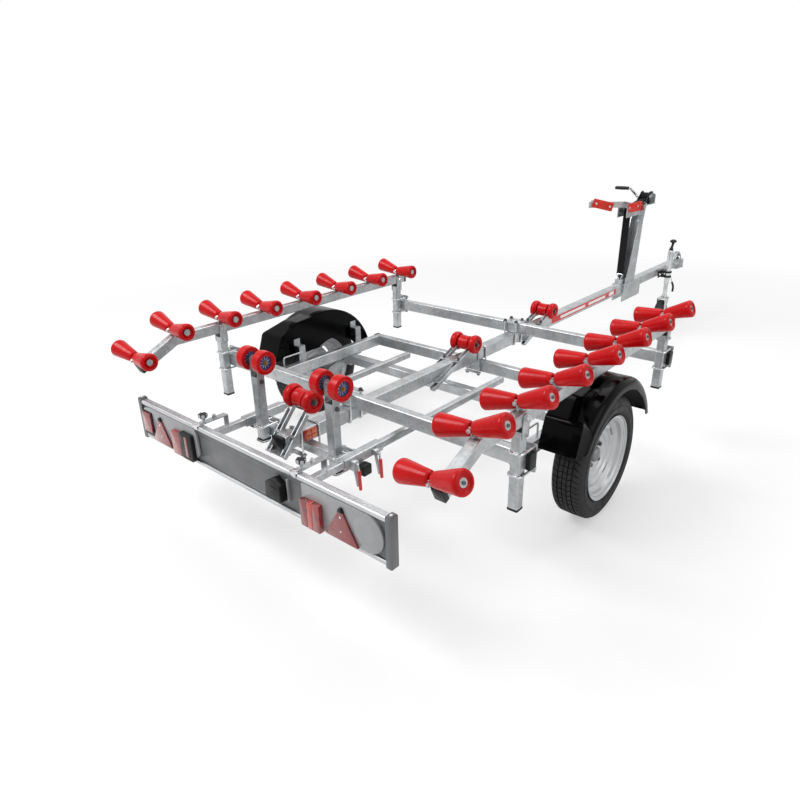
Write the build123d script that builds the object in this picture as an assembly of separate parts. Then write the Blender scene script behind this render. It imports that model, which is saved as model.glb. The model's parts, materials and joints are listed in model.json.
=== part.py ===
"""Roller boat trailer with a single axle: one STEP file for each sub-part.

Sizes are in millimetres. x points to the trailer's right, y ahead and z up from the ground. Lengths along the
trailer are first counted from the wheels' axis, and every piece is moved by AXLE_Y when it is written, which
puts the origin on the ground under the middle of the whole trailer.
"""
from build123d import *
from math import atan2, cos, degrees, hypot, radians, sin, tan
import os

# Clearances
TOUCH = 0.3              # between pieces that lie against each other but are not joined
PIN_GAP = 0.1            # between a pin and the bore that turns on it
SIDE_GAP = 2.0           # between a turning roller and the cheek beside it

# Wheels and axle
TYRE_R = 265.5
TYRE_W = 141
TREAD_W = 104
BEAD_R = 165
FLANGE_R = 182.5
RIM_W = 125
RIM_WALL = 5
STUB_R = 15
HUB_R = 38
BOLT_CIRCLE_R = 50
VENT_R = 126             # circle of the vent slots in the wheel disc
AXLE_SIDE = 50
AXLE_HALF = 726
AXLE_AHEAD = 142         # the torsion tube lies ahead of the wheels' axis
SADDLE_FOOT = 32         # of the bent plate on either side of the axle tube, under a side rail
ARM_THICK = 20
ARM_R = 32
ARM_TO_TYRE = 36         # from a trailing arm's outer face to the tyre
WHEEL_X = AXLE_HALF + ARM_THICK + ARM_TO_TYRE + TYRE_W / 2

# Frame tubes: a deep side, a narrow side and one wall
WALL = 3
SPINE = 60
SPINE_BOTTOM = 393
SPINE_REAR = -960
SPINE_FRONT = 3250
CROSS_H = 60
CROSS_W = 40
REAR_CROSS_Y = -568
FRONT_CROSS_Y = 740
MIDDLE_CROSS_Y = 380
RAIL_SET_IN = 1          # of the side rails' outer faces, behind the ends of the axle tube
RAIL_X = AXLE_HALF - RAIL_SET_IN - CROSS_W / 2
MIDDLE_CROSS_HALF = RAIL_X + CROSS_W / 2
RAIL_SET_AHEAD = 170     # of the side rails' rear ends, ahead of the rear crossmember's middle
GUSSET_OVER = 60         # of a gusset plate along its side rail
CAP = 3                  # plastic cap on a tube's end

# Posts and side beams
POST = 40
BEAM_X = 838
CROSS_OVER = 15          # of the two upper crossmembers beyond the posts
CROSS_HALF = BEAM_X + POST / 2 + CROSS_OVER
BEAM_Z = 652
BEAM_H = 50
BEAM_W = 40
BEAM_FRONT = 765
BEND_Y = -860
BEND_DROP = 25           # degrees by which the rear end of a side beam is bent down
BENT_LENGTH = 203
POST_TOP = 614
REAR_POST_BOTTOM = 303
FRONT_POST_BOTTOM = 340
ROD_R = 4.5              # rod of a U-bolt
PLATE = 6                # plate under the nuts of a U-bolt
FORK_PLATE = 5

# Side rollers: pairs of cones in a shallow V
ROLLER_Y = [-1053, -860, -601, -355, -90, 174, 435, 702]
ROLLER_UP = 51           # from the side beam's middle to the point of the V
CONE_LENGTH = 128
CONE_SMALL_R = 24
CONE_BIG_R = 41
CONE_GAP = 10            # between the two small ends
LUG = 7                  # thickness of the lug between them
CONE_PIN_R = 8
CONE_RECESS_R = 27
CONE_RECESS = 16
CONE_BIG_ROUND = 12
CONE_SMALL_ROUND = 9
ROLLER_SIDES = [         # side, tilt of the whole V, half-angle of the V (degrees)
    (1, 16.0, 5.5),
    (-1, 4.5, 8.0),
]

# Keel rollers on the centre line and the ladders that carry them
KEEL_ROLLERS = [         # name, roller's y and z, ladder foot's y and z
    ("rear", -819, 567, -980, 391),
    ("middle", 277, 509, -62, 376),
    ("front", 1088, 504, 782, 384),
]
DRUM_R = 48
WAIST_R = 38
KEEL_HALF = 73
CHEEK_X = 30.5           # inner face of a ladder's cheek, just off the spine
CHEEK = 4
LADDER_OUT = 56          # outer face of a ladder's channel
LADDER_DEPTH = 18
KEEL_PIN_R = 8
SLOT_LENGTH = 24         # of the slots in a channel's web
SLOT_EDGE = 5            # from a slot to the channel's sides

# Twin wheels at the stern
LOWER_CROSS_Y = -825
LOWER_CROSS_HALF = 340
LOWER_CROSS = 40
REFLECTOR_HALF = 32      # half the length of the amber reflector between the U-bolts
TWIN_X = 216
TWIN_Z = 692
TWIN_R = 48
TWIN_W = 45
TWIN_APART = 96         # between the two wheels' middles
TWIN_POST_TOP = 625
TWIN_POST_BOTTOM = 345
TWIN_PIN_R = 6

# Sliding light board
ARM_SIDE = 30
LIGHT_ARM_X = 290
LIGHT_ARM_FRONT = 160
SLEEVE_SIDE = 40
SLEEVE_REAR = -905
SLEEVE_LENGTH = 200
SLEEVE_PLAY = 0.4
LEVER_IN = 35            # of the clamp levers from the sleeve's ends
LEVER_BOSS = 22
SLEEVE_LEVER = 90
BOARD_REAR = -1128
BOARD_DEPTH = 30
BOARD_HALF = 704
BOARD_BOTTOM = 300
BOARD_TOP = 476
BOARD_PANEL = 4
PANEL_SET_IN = 8         # of the panel behind the edge rails' rear faces
EDGE_RAIL = 18           # height of the aluminium rails along the board's edges
END_POST_W = 24
END_POST_OVER = 4        # of an end post above and below the board
LAMP_DEPTH = 22
LAMPS = [                # x from, x to, z from, z to, how far it stands out from the board
    (-690, -622, 340, 437, 14),
    (-452, -386, 308, 412, LAMP_DEPTH),
    (-380, -300, 312, 434, LAMP_DEPTH),
    (338, 432, 306, 413, LAMP_DEPTH),
    (165, 248, 350, 437, 34),
]
CARRIERS = [             # pale plastic boxes that hold the lamps: x from, x to, side of the rounded end
    (-700, -283, -1),
    (330, 700, 1),
]
CARRIER_OUT = 4          # of a carrier behind the edge rails' rear faces
CARRIER_ROUND = 60
TRIANGLES_X = [-551, 522]
TRIANGLE_HALF = 74
TRIANGLE_THICK = 8
TRIANGLE_Z = (306, 438)
BOARD_BRACKET_FRONT = -985
KNOB_AHEAD = 40          # of the knobs on the board's brackets, from the board's rear face
KNOB_UP = 24
KNOB_R = 17

# Mudguards
GUARD_GAP = 12           # between the tyre and the guard's inner side
GUARD_OVER = 17          # of the guard beyond the tyre's outer side
GUARD_IN = WHEEL_X - TYRE_W / 2 - GUARD_GAP
GUARD_OUT = WHEEL_X + TYRE_W / 2 + GUARD_OVER
GUARD_WALL = 4
GUARD_ROUND = 30
GUARD_REAR = [           # side view of the flat rear corner over the tyre's inner half: y, z
    (-346, 420),
    (-302, 528),
    (-195, 587),
    (15, 600),
    (15, 420),
]
FACET_SET_IN = 50        # of the flat corner's outer side, inside the guard's
FACET_OUT = GUARD_OUT - FACET_SET_IN
BAND_Y = 15              # the guard follows the wheel in an arc about this point
BAND_Z = 250
BAND_R = 356
GUARD_FOOT_REAR = 407
GUARD_FOOT_FRONT = 362
BAND_OPENING_R = 310     # wheel opening in the outer side
AXLE_OPENING_R = 215     # opening for the axle in the inner side
AXLE_OPENING_DROP = 40   # of its middle below the wheels' axis
STAY_Y = [-200, 225]
STAY_W = 40
STAY_SHEET = 5
STAY_DROP = 40           # of a stay's foot below the spine's underside
STAY_SHELF = 470         # upper face of a stay's level part
STAY_TOP = 500

# Winch post
WINCH_POST_HALF = 35
WINCH_SHEET = 5
WINCH_POST = [           # side view, round the post: y, z
    (2217, 457),
    (2382, 457),
    (2413, 870),
    (2440, 985),
    (2381, 985),
]
WINCH_BASE = (2160, 2500)
WINCH_SIDE_REAR = 30     # of the base's side plates behind which its top plate runs on
EYE_AHEAD = 8            # of the hook's keeper on the base: from the base's rear end, length, half-width, height
EYE_LENGTH = 42
EYE_HALF = 22
EYE_H = 34
WINCH_SIDE_DROP = 330
WINCH_Y = 2495
WINCH_AXIS_Z = 1034
WINCH_HALF = 55
WINCH_SEAT_REAR = 110    # the winch's base plate, behind and ahead of its axis
WINCH_SEAT_FRONT = 85
WINCH_EAR = [            # side plates: y from the axis, z from the top of the post
    (-60, 0),
    (80, 0),
    (80, 55),
    (40, 90),
    (-20, 90),
]
WINCH_PIN_R = 8
DRUM_FLANGE_R = 39
DRUM_STRAP_R = 30        # of the strap wound on the drum
DRUM_SIDE_GAP = 2
DRUM_FLANGE = 3
CRANK_LENGTH = 250
CRANK_RISE = 16          # degrees by which the crank points up
CRANK_BOSS = 16
CRANK_GRIP = 120
CRANK_R = 12
CRANK_ARM = 8            # thickness and width of the crank's arm, and its place beyond the pin's end
CRANK_ARM_W = 20
CRANK_ARM_OUT = 10
PIN_END = 4              # of a pin beyond the plate that holds it
STRAP_Y = 2190
STRAP_W = 50
STRAP_THICK = 3
STRAP_BEND_R = 14        # over the pin in the bow stop
STRAP_BOTTOM = 528
BOW_PAD_X = 112
BOW_PAD_Y = 2030
BOW_PAD_Z = 1015
BOW_PAD_LENGTH = 222
BOW_PAD_H = 58
BOW_PAD_THICK = 20
PAD_HOLE_R = 8
PAD_HOLE_IN = 30         # of a pad's holes from its ends
BOW_YAW = 36
BOW_ARM_Z = 930
BOW_ARM_REAR = 12        # of the arm's bottom plate ahead of the strap
BOW_ARM_FRONT = 2400
BOW_PIN_UP = 42          # of the strap's pin above the arm's bottom plate
STRAP_TURN = 58          # of the strap's bend above it

# Jockey wheel
JOCKEY_X = 85
JOCKEY_Y = 2960
JOCKEY_OUTER_R = 24
JOCKEY_INNER_R = 19.5
JOCKEY_TOP = 590
JOCKEY_TUBE_BOTTOM = 330
JOCKEY_HIDDEN = 105      # from the top of the outer tube to the top of the inner one
JOCKEY_WHEEL_R = 100
JOCKEY_WHEEL_W = 50
JOCKEY_TRAIL = 50
JOCKEY_PIN_R = 8
JOCKEY_CLAMP_Z = 400
JOCKEY_KNOB_TOP = 675
LEVER_DROP = 41
LEVER_LENGTH = 260
FORK_HALF = 33
CLAMP_RING = 16          # height of a clamp ring
CLAMP_LOW = 22           # of the clamp's lower edge below JOCKEY_CLAMP_Z
CLAMP_UP = 14            # of the upper ring above it
CLAMP_WALL = 6
CLAMP_PLATE = 8
CLAMP_PLATE_HALF = 70
LEVER_R = 5
LEVER_GRIP_R = 9
LEVER_GRIP = 80
JOCKEY_KNOB_R = 18
CROWN_GAP = 14           # between the jockey wheel and the fork's crown
CROWN = 6

# Coupling
HEAD_Y = 3470            # middle of the ball socket
HEAD_Z = 410
BALL_R = 25.3
HEAD_R = 38
HEAD_H = 84
HANDLE_W = 30
HANDLE_THICK = 12
HANDLE_BEND_R = 40
HANDLE = [               # middle line of the handle: y and z from the middle of the ball socket
    (-20, 60),
    (-90, 98),
    (-190, 66),
]

# Wire loops for lashing straps, on the side rails
LOOP_Y = (-350, -220)
LOOP_H = 55
LOOP_R = 4
LOOP_IN = 5              # of a loop inside the middle of its rail

# Whole trailer
REAR_END = BOARD_REAR - 34
FRONT_END = HEAD_Y + HEAD_R
AXLE_Y = -(REAR_END + FRONT_END) / 2

SPINE_Z = SPINE_BOTTOM + SPINE / 2
SPINE_TOP = SPINE_BOTTOM + SPINE
HIGH_CROSS_Z = SPINE_TOP + CROSS_H / 2
LOW_CROSS_Z = SPINE_BOTTOM - CROSS_H / 2
RAIL_BOTTOM = SPINE_BOTTOM - CROSS_H
AXLE_TUBE_Z = RAIL_BOTTOM - AXLE_SIDE / 2
LOWER_CROSS_Z = SPINE_BOTTOM - LOWER_CROSS / 2
LIGHT_ARM_Z = SPINE_BOTTOM + SLEEVE_SIDE / 2

PARTS = {}


def add(name, *solids):
    """Keeps the solids of one sub-part under its name."""
    PARTS.setdefault(name, []).extend(solids)


def block(x, y, z):
    """A box from its limits along x, y and z."""
    size = [high - low for low, high in (x, y, z)]
    middle = [(low + high) / 2 for low, high in (x, y, z)]
    return Pos(*middle) * Box(*size)


def bar(axis, start, end, centre, size, wall=0):
    """A straight bar with rounded corners from start to end along an axis. centre is the middle of its section
    and size its two sides, both in the order of the other two axes. A wall makes it a tube."""
    place, across, along = {
        "x": ((start, *centre), (0, 1, 0), (1, 0, 0)),
        "y": ((centre[0], start, centre[1]), (1, 0, 0), (0, 1, 0)),
        "z": ((*centre, start), (1, 0, 0), (0, 0, 1)),
    }[axis]
    plane = Plane(origin=place, x_dir=across, z_dir=along)
    corner = 2 * WALL
    section = RectangleRounded(*size, corner)
    if wall:
        section -= RectangleRounded(size[0] - 2 * wall, size[1] - 2 * wall, corner - wall)
    return extrude(plane * section, end - start)


def rod(axis, start, end, centre, radius):
    """A round bar from start to end along an axis."""
    middle = (start + end) / 2
    place, turn = {
        "x": ((middle, *centre), (0, 90, 0)),
        "y": ((centre[0], middle, centre[1]), (90, 0, 0)),
        "z": ((*centre, middle), (0, 0, 0)),
    }[axis]
    return Pos(*place) * Rot(*turn) * Cylinder(radius, end - start)


def side_plate(points, x_from, x_to):
    """A plate with its outline given in side view as points (y, z), from x_from to x_to."""
    face = Plane.YZ * Polygon(*points, align=None)
    return Pos(x_from, 0, 0) * extrude(face, x_to - x_from, dir=(1, 0, 0))


def turned_x(points, x):
    """A solid turned about the x axis from an outline of (x, r) points, moved to x."""
    outline = [(along, radius) for along, radius in points]
    return Pos(x, 0, 0) * revolve(Plane.XY * Polygon(*outline, align=None), Axis.X)


def both_sides(make):
    """The same piece on the right and, mirrored, on the left."""
    piece = make()
    return [piece, mirror(piece, Plane.YZ)]


def joined(*pieces):
    """One solid from pieces that are welded or bolted together."""
    whole = pieces[0]
    for piece in pieces[1:]:
        whole = whole + piece
    return whole


def u_clamp(held, crossed, reach, spread=0):
    """Two U-bolts that hold a tube against a crossing tube, with their plate and nuts. The held tube runs along
    z with its near face on the plane y = 0, the crossing tube runs along x behind it, from y = 0 to y = reach.
    held is the held tube's side, crossed the crossing tube's height. spread sets the U-bolts further apart."""
    leg_x = held / 2 + ROD_R + TOUCH
    back = -held - ROD_R - TOUCH
    tip = reach + PLATE + 12
    level = crossed / 2 + ROD_R + 8 + spread
    plate = block((-leg_x - 14, leg_x + 14), (reach, reach + PLATE), (-level - 14, level + 14))
    pieces = [plate]
    for z in (-level, level):
        path = FilletPolyline((-leg_x, tip, z), (-leg_x, back, z), (leg_x, back, z), (leg_x, tip, z), radius=8)
        pieces.append(sweep(Plane(origin=path @ 0, z_dir=path % 0) * Circle(ROD_R), path))
        for x in (-leg_x, leg_x):
            nut = Pos(x, 0, z) * Rot(-90, 0, 0) * extrude(RegularPolygon(8.5, 6), 7)
            pieces.append(Pos(0, reach + PLATE, 0) * nut)
    return joined(*pieces)


def make_frame():
    add("spine_tube", bar("y", SPINE_REAR, SPINE_FRONT, (0, SPINE_Z), (SPINE, SPINE), WALL))
    crossmembers = [     # name, y, z, half-length
        ("rear_crossmember", REAR_CROSS_Y, HIGH_CROSS_Z, CROSS_HALF),
        ("front_crossmember", FRONT_CROSS_Y, HIGH_CROSS_Z, CROSS_HALF),
        ("middle_crossmember", MIDDLE_CROSS_Y, LOW_CROSS_Z, MIDDLE_CROSS_HALF),
    ]
    for name, y, z, half in crossmembers:
        add(name, bar("x", -half, half, (y, z), (CROSS_W, CROSS_H), WALL))
        for end in (-half, half):
            outward = CAP if end > 0 else -CAP
            add("tube_caps", bar("x", min(end, end + outward), max(end, end + outward), (y, z), (CROSS_W, CROSS_H)))
    add("lower_cross_tube", bar("x", -LOWER_CROSS_HALF, LOWER_CROSS_HALF, (LOWER_CROSS_Y, LOWER_CROSS_Z),
                                (LOWER_CROSS, LOWER_CROSS), WALL))
    for low in (-LOWER_CROSS_HALF - CAP, LOWER_CROSS_HALF):
        add("tube_caps", bar("x", low, low + CAP, (LOWER_CROSS_Y, LOWER_CROSS_Z), (LOWER_CROSS, LOWER_CROSS)))
    add("tube_caps", bar("y", SPINE_REAR - CAP, SPINE_REAR, (0, SPINE_Z), (SPINE, SPINE)))

    rail_rear = REAR_CROSS_Y + RAIL_SET_AHEAD
    cross_face = REAR_CROSS_Y + CROSS_W / 2
    cross_top = SPINE_TOP + CROSS_H
    rail_front = MIDDLE_CROSS_Y - CROSS_W / 2
    for side, name in ((1, "side_rail_right"), (-1, "side_rail_left")):
        add(name, bar("y", rail_rear, rail_front, (side * RAIL_X, LOW_CROSS_Z), (CROSS_W, CROSS_H), WALL))
        add("tube_caps", bar("y", rail_rear - CAP, rail_rear, (side * RAIL_X, LOW_CROSS_Z), (CROSS_W, CROSS_H)))
        for edge in (side * RAIL_X - CROSS_W / 2 - FORK_PLATE, side * RAIL_X + CROSS_W / 2):
            add("frame_brackets", side_plate([
                (cross_face, SPINE_TOP - 18),
                (cross_face, cross_top - 6),
                (cross_face + 12, cross_top - 6),
                (rail_rear + GUSSET_OVER, SPINE_BOTTOM - 4),
                (rail_rear + GUSSET_OVER, RAIL_BOTTOM + 10),
                (rail_rear + 4, RAIL_BOTTOM + 10),
            ], edge, edge + FORK_PLATE))

    # U-bolts where the spine meets a crossing tube: those above it are clamped from below and the other way round
    crossings = [        # y, side of the spine (1 above, -1 below), crossing tube's depth and height, spread
        (REAR_CROSS_Y, 1, CROSS_W, CROSS_H, 0),
        (FRONT_CROSS_Y, 1, CROSS_W, CROSS_H, 0),
        (MIDDLE_CROSS_Y, -1, CROSS_W, CROSS_H, 0),
        (LOWER_CROSS_Y, -1, LOWER_CROSS, LOWER_CROSS, REFLECTOR_HALF - LOWER_CROSS / 2),
    ]
    for y, side, depth, height, spread in crossings:
        face = SPINE_TOP if side > 0 else SPINE_BOTTOM
        clamp = u_clamp(SPINE, depth, height, spread)
        add("frame_clamps", Pos(0, y, face) * Rot(90 * side, 0, 0) * clamp)


def make_axle():
    add("axle_tube", bar("x", -AXLE_HALF, AXLE_HALF, (AXLE_AHEAD, AXLE_TUBE_Z), (AXLE_SIDE, AXLE_SIDE), WALL))

    def saddle():
        """The bent plate that holds the torsion tube under a side rail."""
        half = AXLE_SIDE / 2
        sheet = FORK_PLATE
        foot = half + sheet + SADDLE_FOOT
        bottom = RAIL_BOTTOM - AXLE_SIDE
        outer = [
            (AXLE_AHEAD - foot, RAIL_BOTTOM),
            (AXLE_AHEAD - foot, RAIL_BOTTOM - sheet),
            (AXLE_AHEAD - half - sheet, RAIL_BOTTOM - sheet),
            (AXLE_AHEAD - half - sheet, bottom - sheet),
            (AXLE_AHEAD + half + sheet, bottom - sheet),
            (AXLE_AHEAD + half + sheet, RAIL_BOTTOM - sheet),
            (AXLE_AHEAD + foot, RAIL_BOTTOM - sheet),
            (AXLE_AHEAD + foot, RAIL_BOTTOM),
            (AXLE_AHEAD + half, RAIL_BOTTOM),
            (AXLE_AHEAD + half, bottom),
            (AXLE_AHEAD - half, bottom),
            (AXLE_AHEAD - half, RAIL_BOTTOM),
        ]
        return side_plate(outer, RAIL_X - CROSS_W / 2, AXLE_HALF)

    add("frame_brackets", *both_sides(saddle))

    def arm():
        """The trailing arm from the torsion tube back to the wheel, with its stub axle."""
        pivot = (AXLE_AHEAD, AXLE_TUBE_Z)
        hub = (0, TYRE_R)
        slope = atan2(pivot[1] - hub[1], pivot[0] - hub[0])
        across = (-sin(slope), cos(slope))
        hub_r = ARM_R - 4
        web = [(hub[0] + sign * hub_r * across[0], hub[1] + sign * hub_r * across[1]) for sign in (1, -1)]
        web += [(pivot[0] + sign * ARM_R * across[0], pivot[1] + sign * ARM_R * across[1]) for sign in (-1, 1)]
        x_from, x_to = AXLE_HALF, AXLE_HALF + ARM_THICK
        return joined(
            side_plate(web, x_from, x_to),
            rod("x", x_from, x_to, pivot, ARM_R),
            rod("x", x_from, x_to, hub, hub_r),
            rod("x", x_to, WHEEL_X - 12, hub, STUB_R),
        )

    add("suspension_arms", *both_sides(arm))


def make_wheel(side, name):
    half = TYRE_W / 2
    bead = RIM_W / 2 - 9
    tread_edge = (TREAD_W / 2, TYRE_R - 2)
    shoulder = (half - 8, TYRE_R - 22)
    right = Polyline((0, TYRE_R), tread_edge)
    right += ThreePointArc(tread_edge, (half - 11, TYRE_R - 9), shoulder)
    right += ThreePointArc(shoulder, (half, TYRE_R - 48), (bead, BEAD_R + 19))
    right += Polyline((bead, BEAD_R + 19), (bead, BEAD_R + 1), (0, BEAD_R + 1), (0, TYRE_R))
    profile = make_face(right.edges())
    tyre = revolve(Plane.XY * profile, Axis.X)
    tyre = tyre + mirror(tyre, Plane.YZ)

    edge = RIM_W / 2
    outside = [
        (-edge, FLANGE_R),
        (-edge + 6, FLANGE_R - 2),
        (-edge + 9, BEAD_R),
        (-edge + 32, BEAD_R - 2),
        (-edge + 44, BEAD_R - 24),
        (edge - 46, BEAD_R - 24),
        (edge - 34, BEAD_R - 2),
        (edge - 9, BEAD_R),
        (edge - 6, FLANGE_R - 2),
        (edge, FLANGE_R),
    ]
    inside = [(x * 1.0, r - RIM_WALL) for x, r in reversed(outside)]
    barrel = turned_x(outside + inside, 0)
    well_r = BEAD_R - 24 - RIM_WALL
    disc_outer = [
        (edge - 46, well_r + 1),
        (edge - 40, well_r - 6),
        (edge - 44, 112),
        (10, 84),
        (2, 60),
        (0, 30),
    ]
    disc_inner = [(x - RIM_WALL, r) for x, r in reversed(disc_outer)]
    disc = turned_x(disc_outer + disc_inner, 0)
    hub_back = AXLE_HALF + ARM_THICK + 6 - WHEEL_X
    hub = rod("x", hub_back, 12, (0, 0), HUB_R) + rod("x", 12, 24, (0, 0), HUB_R * 0.7)
    hub -= rod("x", hub_back - 1, -12 + TOUCH * 4, (0, 0), STUB_R + PIN_GAP)
    rim = joined(barrel, disc, hub)
    for spot in PolarLocations(BOLT_CIRCLE_R, 4, 45):
        bolt = Rot(0, 90, 0) * spot * Cylinder(9, 20)
        rim += Pos(4, 0, 0) * bolt
    for spot in PolarLocations(VENT_R, 4):
        slot = Rot(0, 90, 0) * spot * Box(12, 34, 60)
        rim -= Pos(edge - 44, 0, 0) * slot
    place = Pos(side * WHEEL_X, 0, TYRE_R)
    if side < 0:
        tyre = mirror(tyre, Plane.YZ)
        rim = mirror(rim, Plane.YZ)
    add("tyre_" + name, place * tyre)
    add("rim_" + name, place * rim)


def bend_point(distance):
    """The middle of a side beam at a distance from its bend, to the rear and down."""
    drop = radians(BEND_DROP)
    return BEND_Y - distance * cos(drop), BEAM_Z - distance * sin(drop)


def make_side_beam(side, name):
    half = BEAM_H / 2
    drop = radians(BEND_DROP)
    end_y, end_z = bend_point(BENT_LENGTH)
    mitre = tan(drop / 2)

    def outline(inset):
        """The side view of the beam, drawn in by an inset at its top and bottom."""
        h = half - inset
        return [
            (BEAM_FRONT, BEAM_Z + h),
            (BEND_Y - h * mitre, BEAM_Z + h),
            (end_y - h * sin(drop), end_z + h * cos(drop)),
            (end_y + h * sin(drop), end_z - h * cos(drop)),
            (BEND_Y + h * mitre, BEAM_Z - h),
            (BEAM_FRONT, BEAM_Z - h),
        ]

    beam = side_plate(outline(0), -BEAM_W / 2, BEAM_W / 2)
    beam = fillet(beam.edges().filter_by(lambda e: abs((e @ 0).X - (e @ 1).X) < 1e-3 and e.length > 150), 5)
    beam -= side_plate(outline(WALL), -BEAM_W / 2 + WALL, BEAM_W / 2 - WALL)
    for y in (REAR_CROSS_Y - CROSS_W, FRONT_CROSS_Y - CROSS_W):
        beam -= rod("x", -BEAM_W, BEAM_W, (y, BEAM_Z), 6 + TOUCH)
    add("side_beam_" + name, Pos(side * BEAM_X, 0, 0) * beam)
    cap = Box(BEAM_W, CAP, BEAM_H)
    add("tube_caps", Pos(side * BEAM_X, BEAM_FRONT + CAP / 2, BEAM_Z) * cap)
    tail_y, tail_z = bend_point(BENT_LENGTH + CAP / 2)
    add("tube_caps", Pos(side * BEAM_X, tail_y, tail_z) * Rot(BEND_DROP, 0, 0) * cap)


def make_posts():
    posts = [            # crossmember's y, foot
        (REAR_CROSS_Y, REAR_POST_BOTTOM),
        (FRONT_CROSS_Y, FRONT_POST_BOTTOM),
    ]
    for cross_y, foot in posts:
        y = cross_y - CROSS_W / 2 - POST / 2
        for side in (1, -1):
            x = side * BEAM_X
            add("beam_posts", bar("z", foot, POST_TOP, (x, y), (POST, POST), WALL))
            add("tube_caps", bar("z", foot - CAP, foot, (x, y), (POST, POST)))
            seat = BEAM_Z - BEAM_H / 2
            add("tube_caps", bar("z", POST_TOP, seat, (x, y), (POST - 4, POST)))
            add("post_clamps", Pos(x, cross_y - CROSS_W / 2, HIGH_CROSS_Z) * u_clamp(POST, CROSS_H, CROSS_W))
            cheeks = [rod("x", -BEAM_W / 2 - FORK_PLATE - 7, BEAM_W / 2 + FORK_PLATE + 7, (0, BEAM_Z), 6)]
            for face in (-BEAM_W / 2 - FORK_PLATE, BEAM_W / 2):
                cheeks.append(block((face, face + FORK_PLATE), (-POST / 2, POST / 2), (POST_TOP - 35, BEAM_Z)))
                cheeks.append(rod("x", face, face + FORK_PLATE, (0, BEAM_Z), POST / 2))
            add("beam_forks", Pos(x, y, 0) * joined(*cheeks))


def cone():
    """One cone of a side roller along +x from its small end, with the recess for its nut."""
    body = Cone(CONE_SMALL_R, CONE_BIG_R, CONE_LENGTH, align=(Align.CENTER, Align.CENTER, Align.MIN))
    rims = body.edges().filter_by(GeomType.CIRCLE).sort_by(Axis.Z)
    body = fillet([rims[-1]], CONE_BIG_ROUND)
    rims = body.edges().filter_by(GeomType.CIRCLE).sort_by(Axis.Z)
    body = fillet([rims[0]], CONE_SMALL_ROUND)
    body -= Pos(0, 0, CONE_LENGTH) * Cylinder(CONE_RECESS_R, 2 * CONE_RECESS)
    body -= Pos(0, 0, CONE_LENGTH / 2) * Cylinder(CONE_PIN_R + TOUCH, CONE_LENGTH + 2)
    return Rot(0, 90, 0) * body


def make_side_rollers(side, name, tilt, v_angle):
    """Eight pairs of cones along one side beam. tilt raises the outer end of each pair."""
    for index, y in enumerate(ROLLER_Y):
        on_bend = index == 0
        offset = radians(tilt)
        lift = ROLLER_UP * cos(offset)
        lean = -side * tan(offset)
        point = Pos(lean * lift, 0, lift)
        foot = BEAM_H / 2
        half = LUG / 2 / cos(offset)
        lug = Plane.XZ * Polygon(
            (lean * foot - half, foot),
            (lean * foot + half, foot),
            (lean * lift + half, lift),
            (lean * lift - half, lift),
            align=None,
        )
        bracket = [Pos(0, -14, 0) * extrude(lug, 28, dir=(0, 1, 0))]
        cones = []
        for way in (1, -1):
            turn = Rot(0, -side * tilt - way * v_angle, 0)
            if way < 0:
                turn = turn * Rot(0, 0, 180)
            pin = rod("x", 0, CONE_LENGTH + CONE_GAP / 2 - 6, (0, 0), CONE_PIN_R)
            nut = Pos(CONE_LENGTH + CONE_GAP / 2 - CONE_RECESS + TOUCH, 0, 0) * rod("x", 0, 9, (0, 0), 14)
            bracket.append(point * turn * (pin + nut))
            cones.append(point * turn * Pos(CONE_GAP / 2, 0, 0) * cone())
        if on_bend:
            distance = (BEND_Y - y) / cos(radians(BEND_DROP)) - ROLLER_UP * tan(radians(BEND_DROP))
            by, bz = bend_point(distance)
            place = Pos(side * BEAM_X, by, bz) * Rot(BEND_DROP, 0, 0)
        else:
            place = Pos(side * BEAM_X, y, BEAM_Z)
        add("roller_brackets", place * joined(*bracket))
        add("side_rollers_" + name, *[place * piece for piece in cones])


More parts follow.
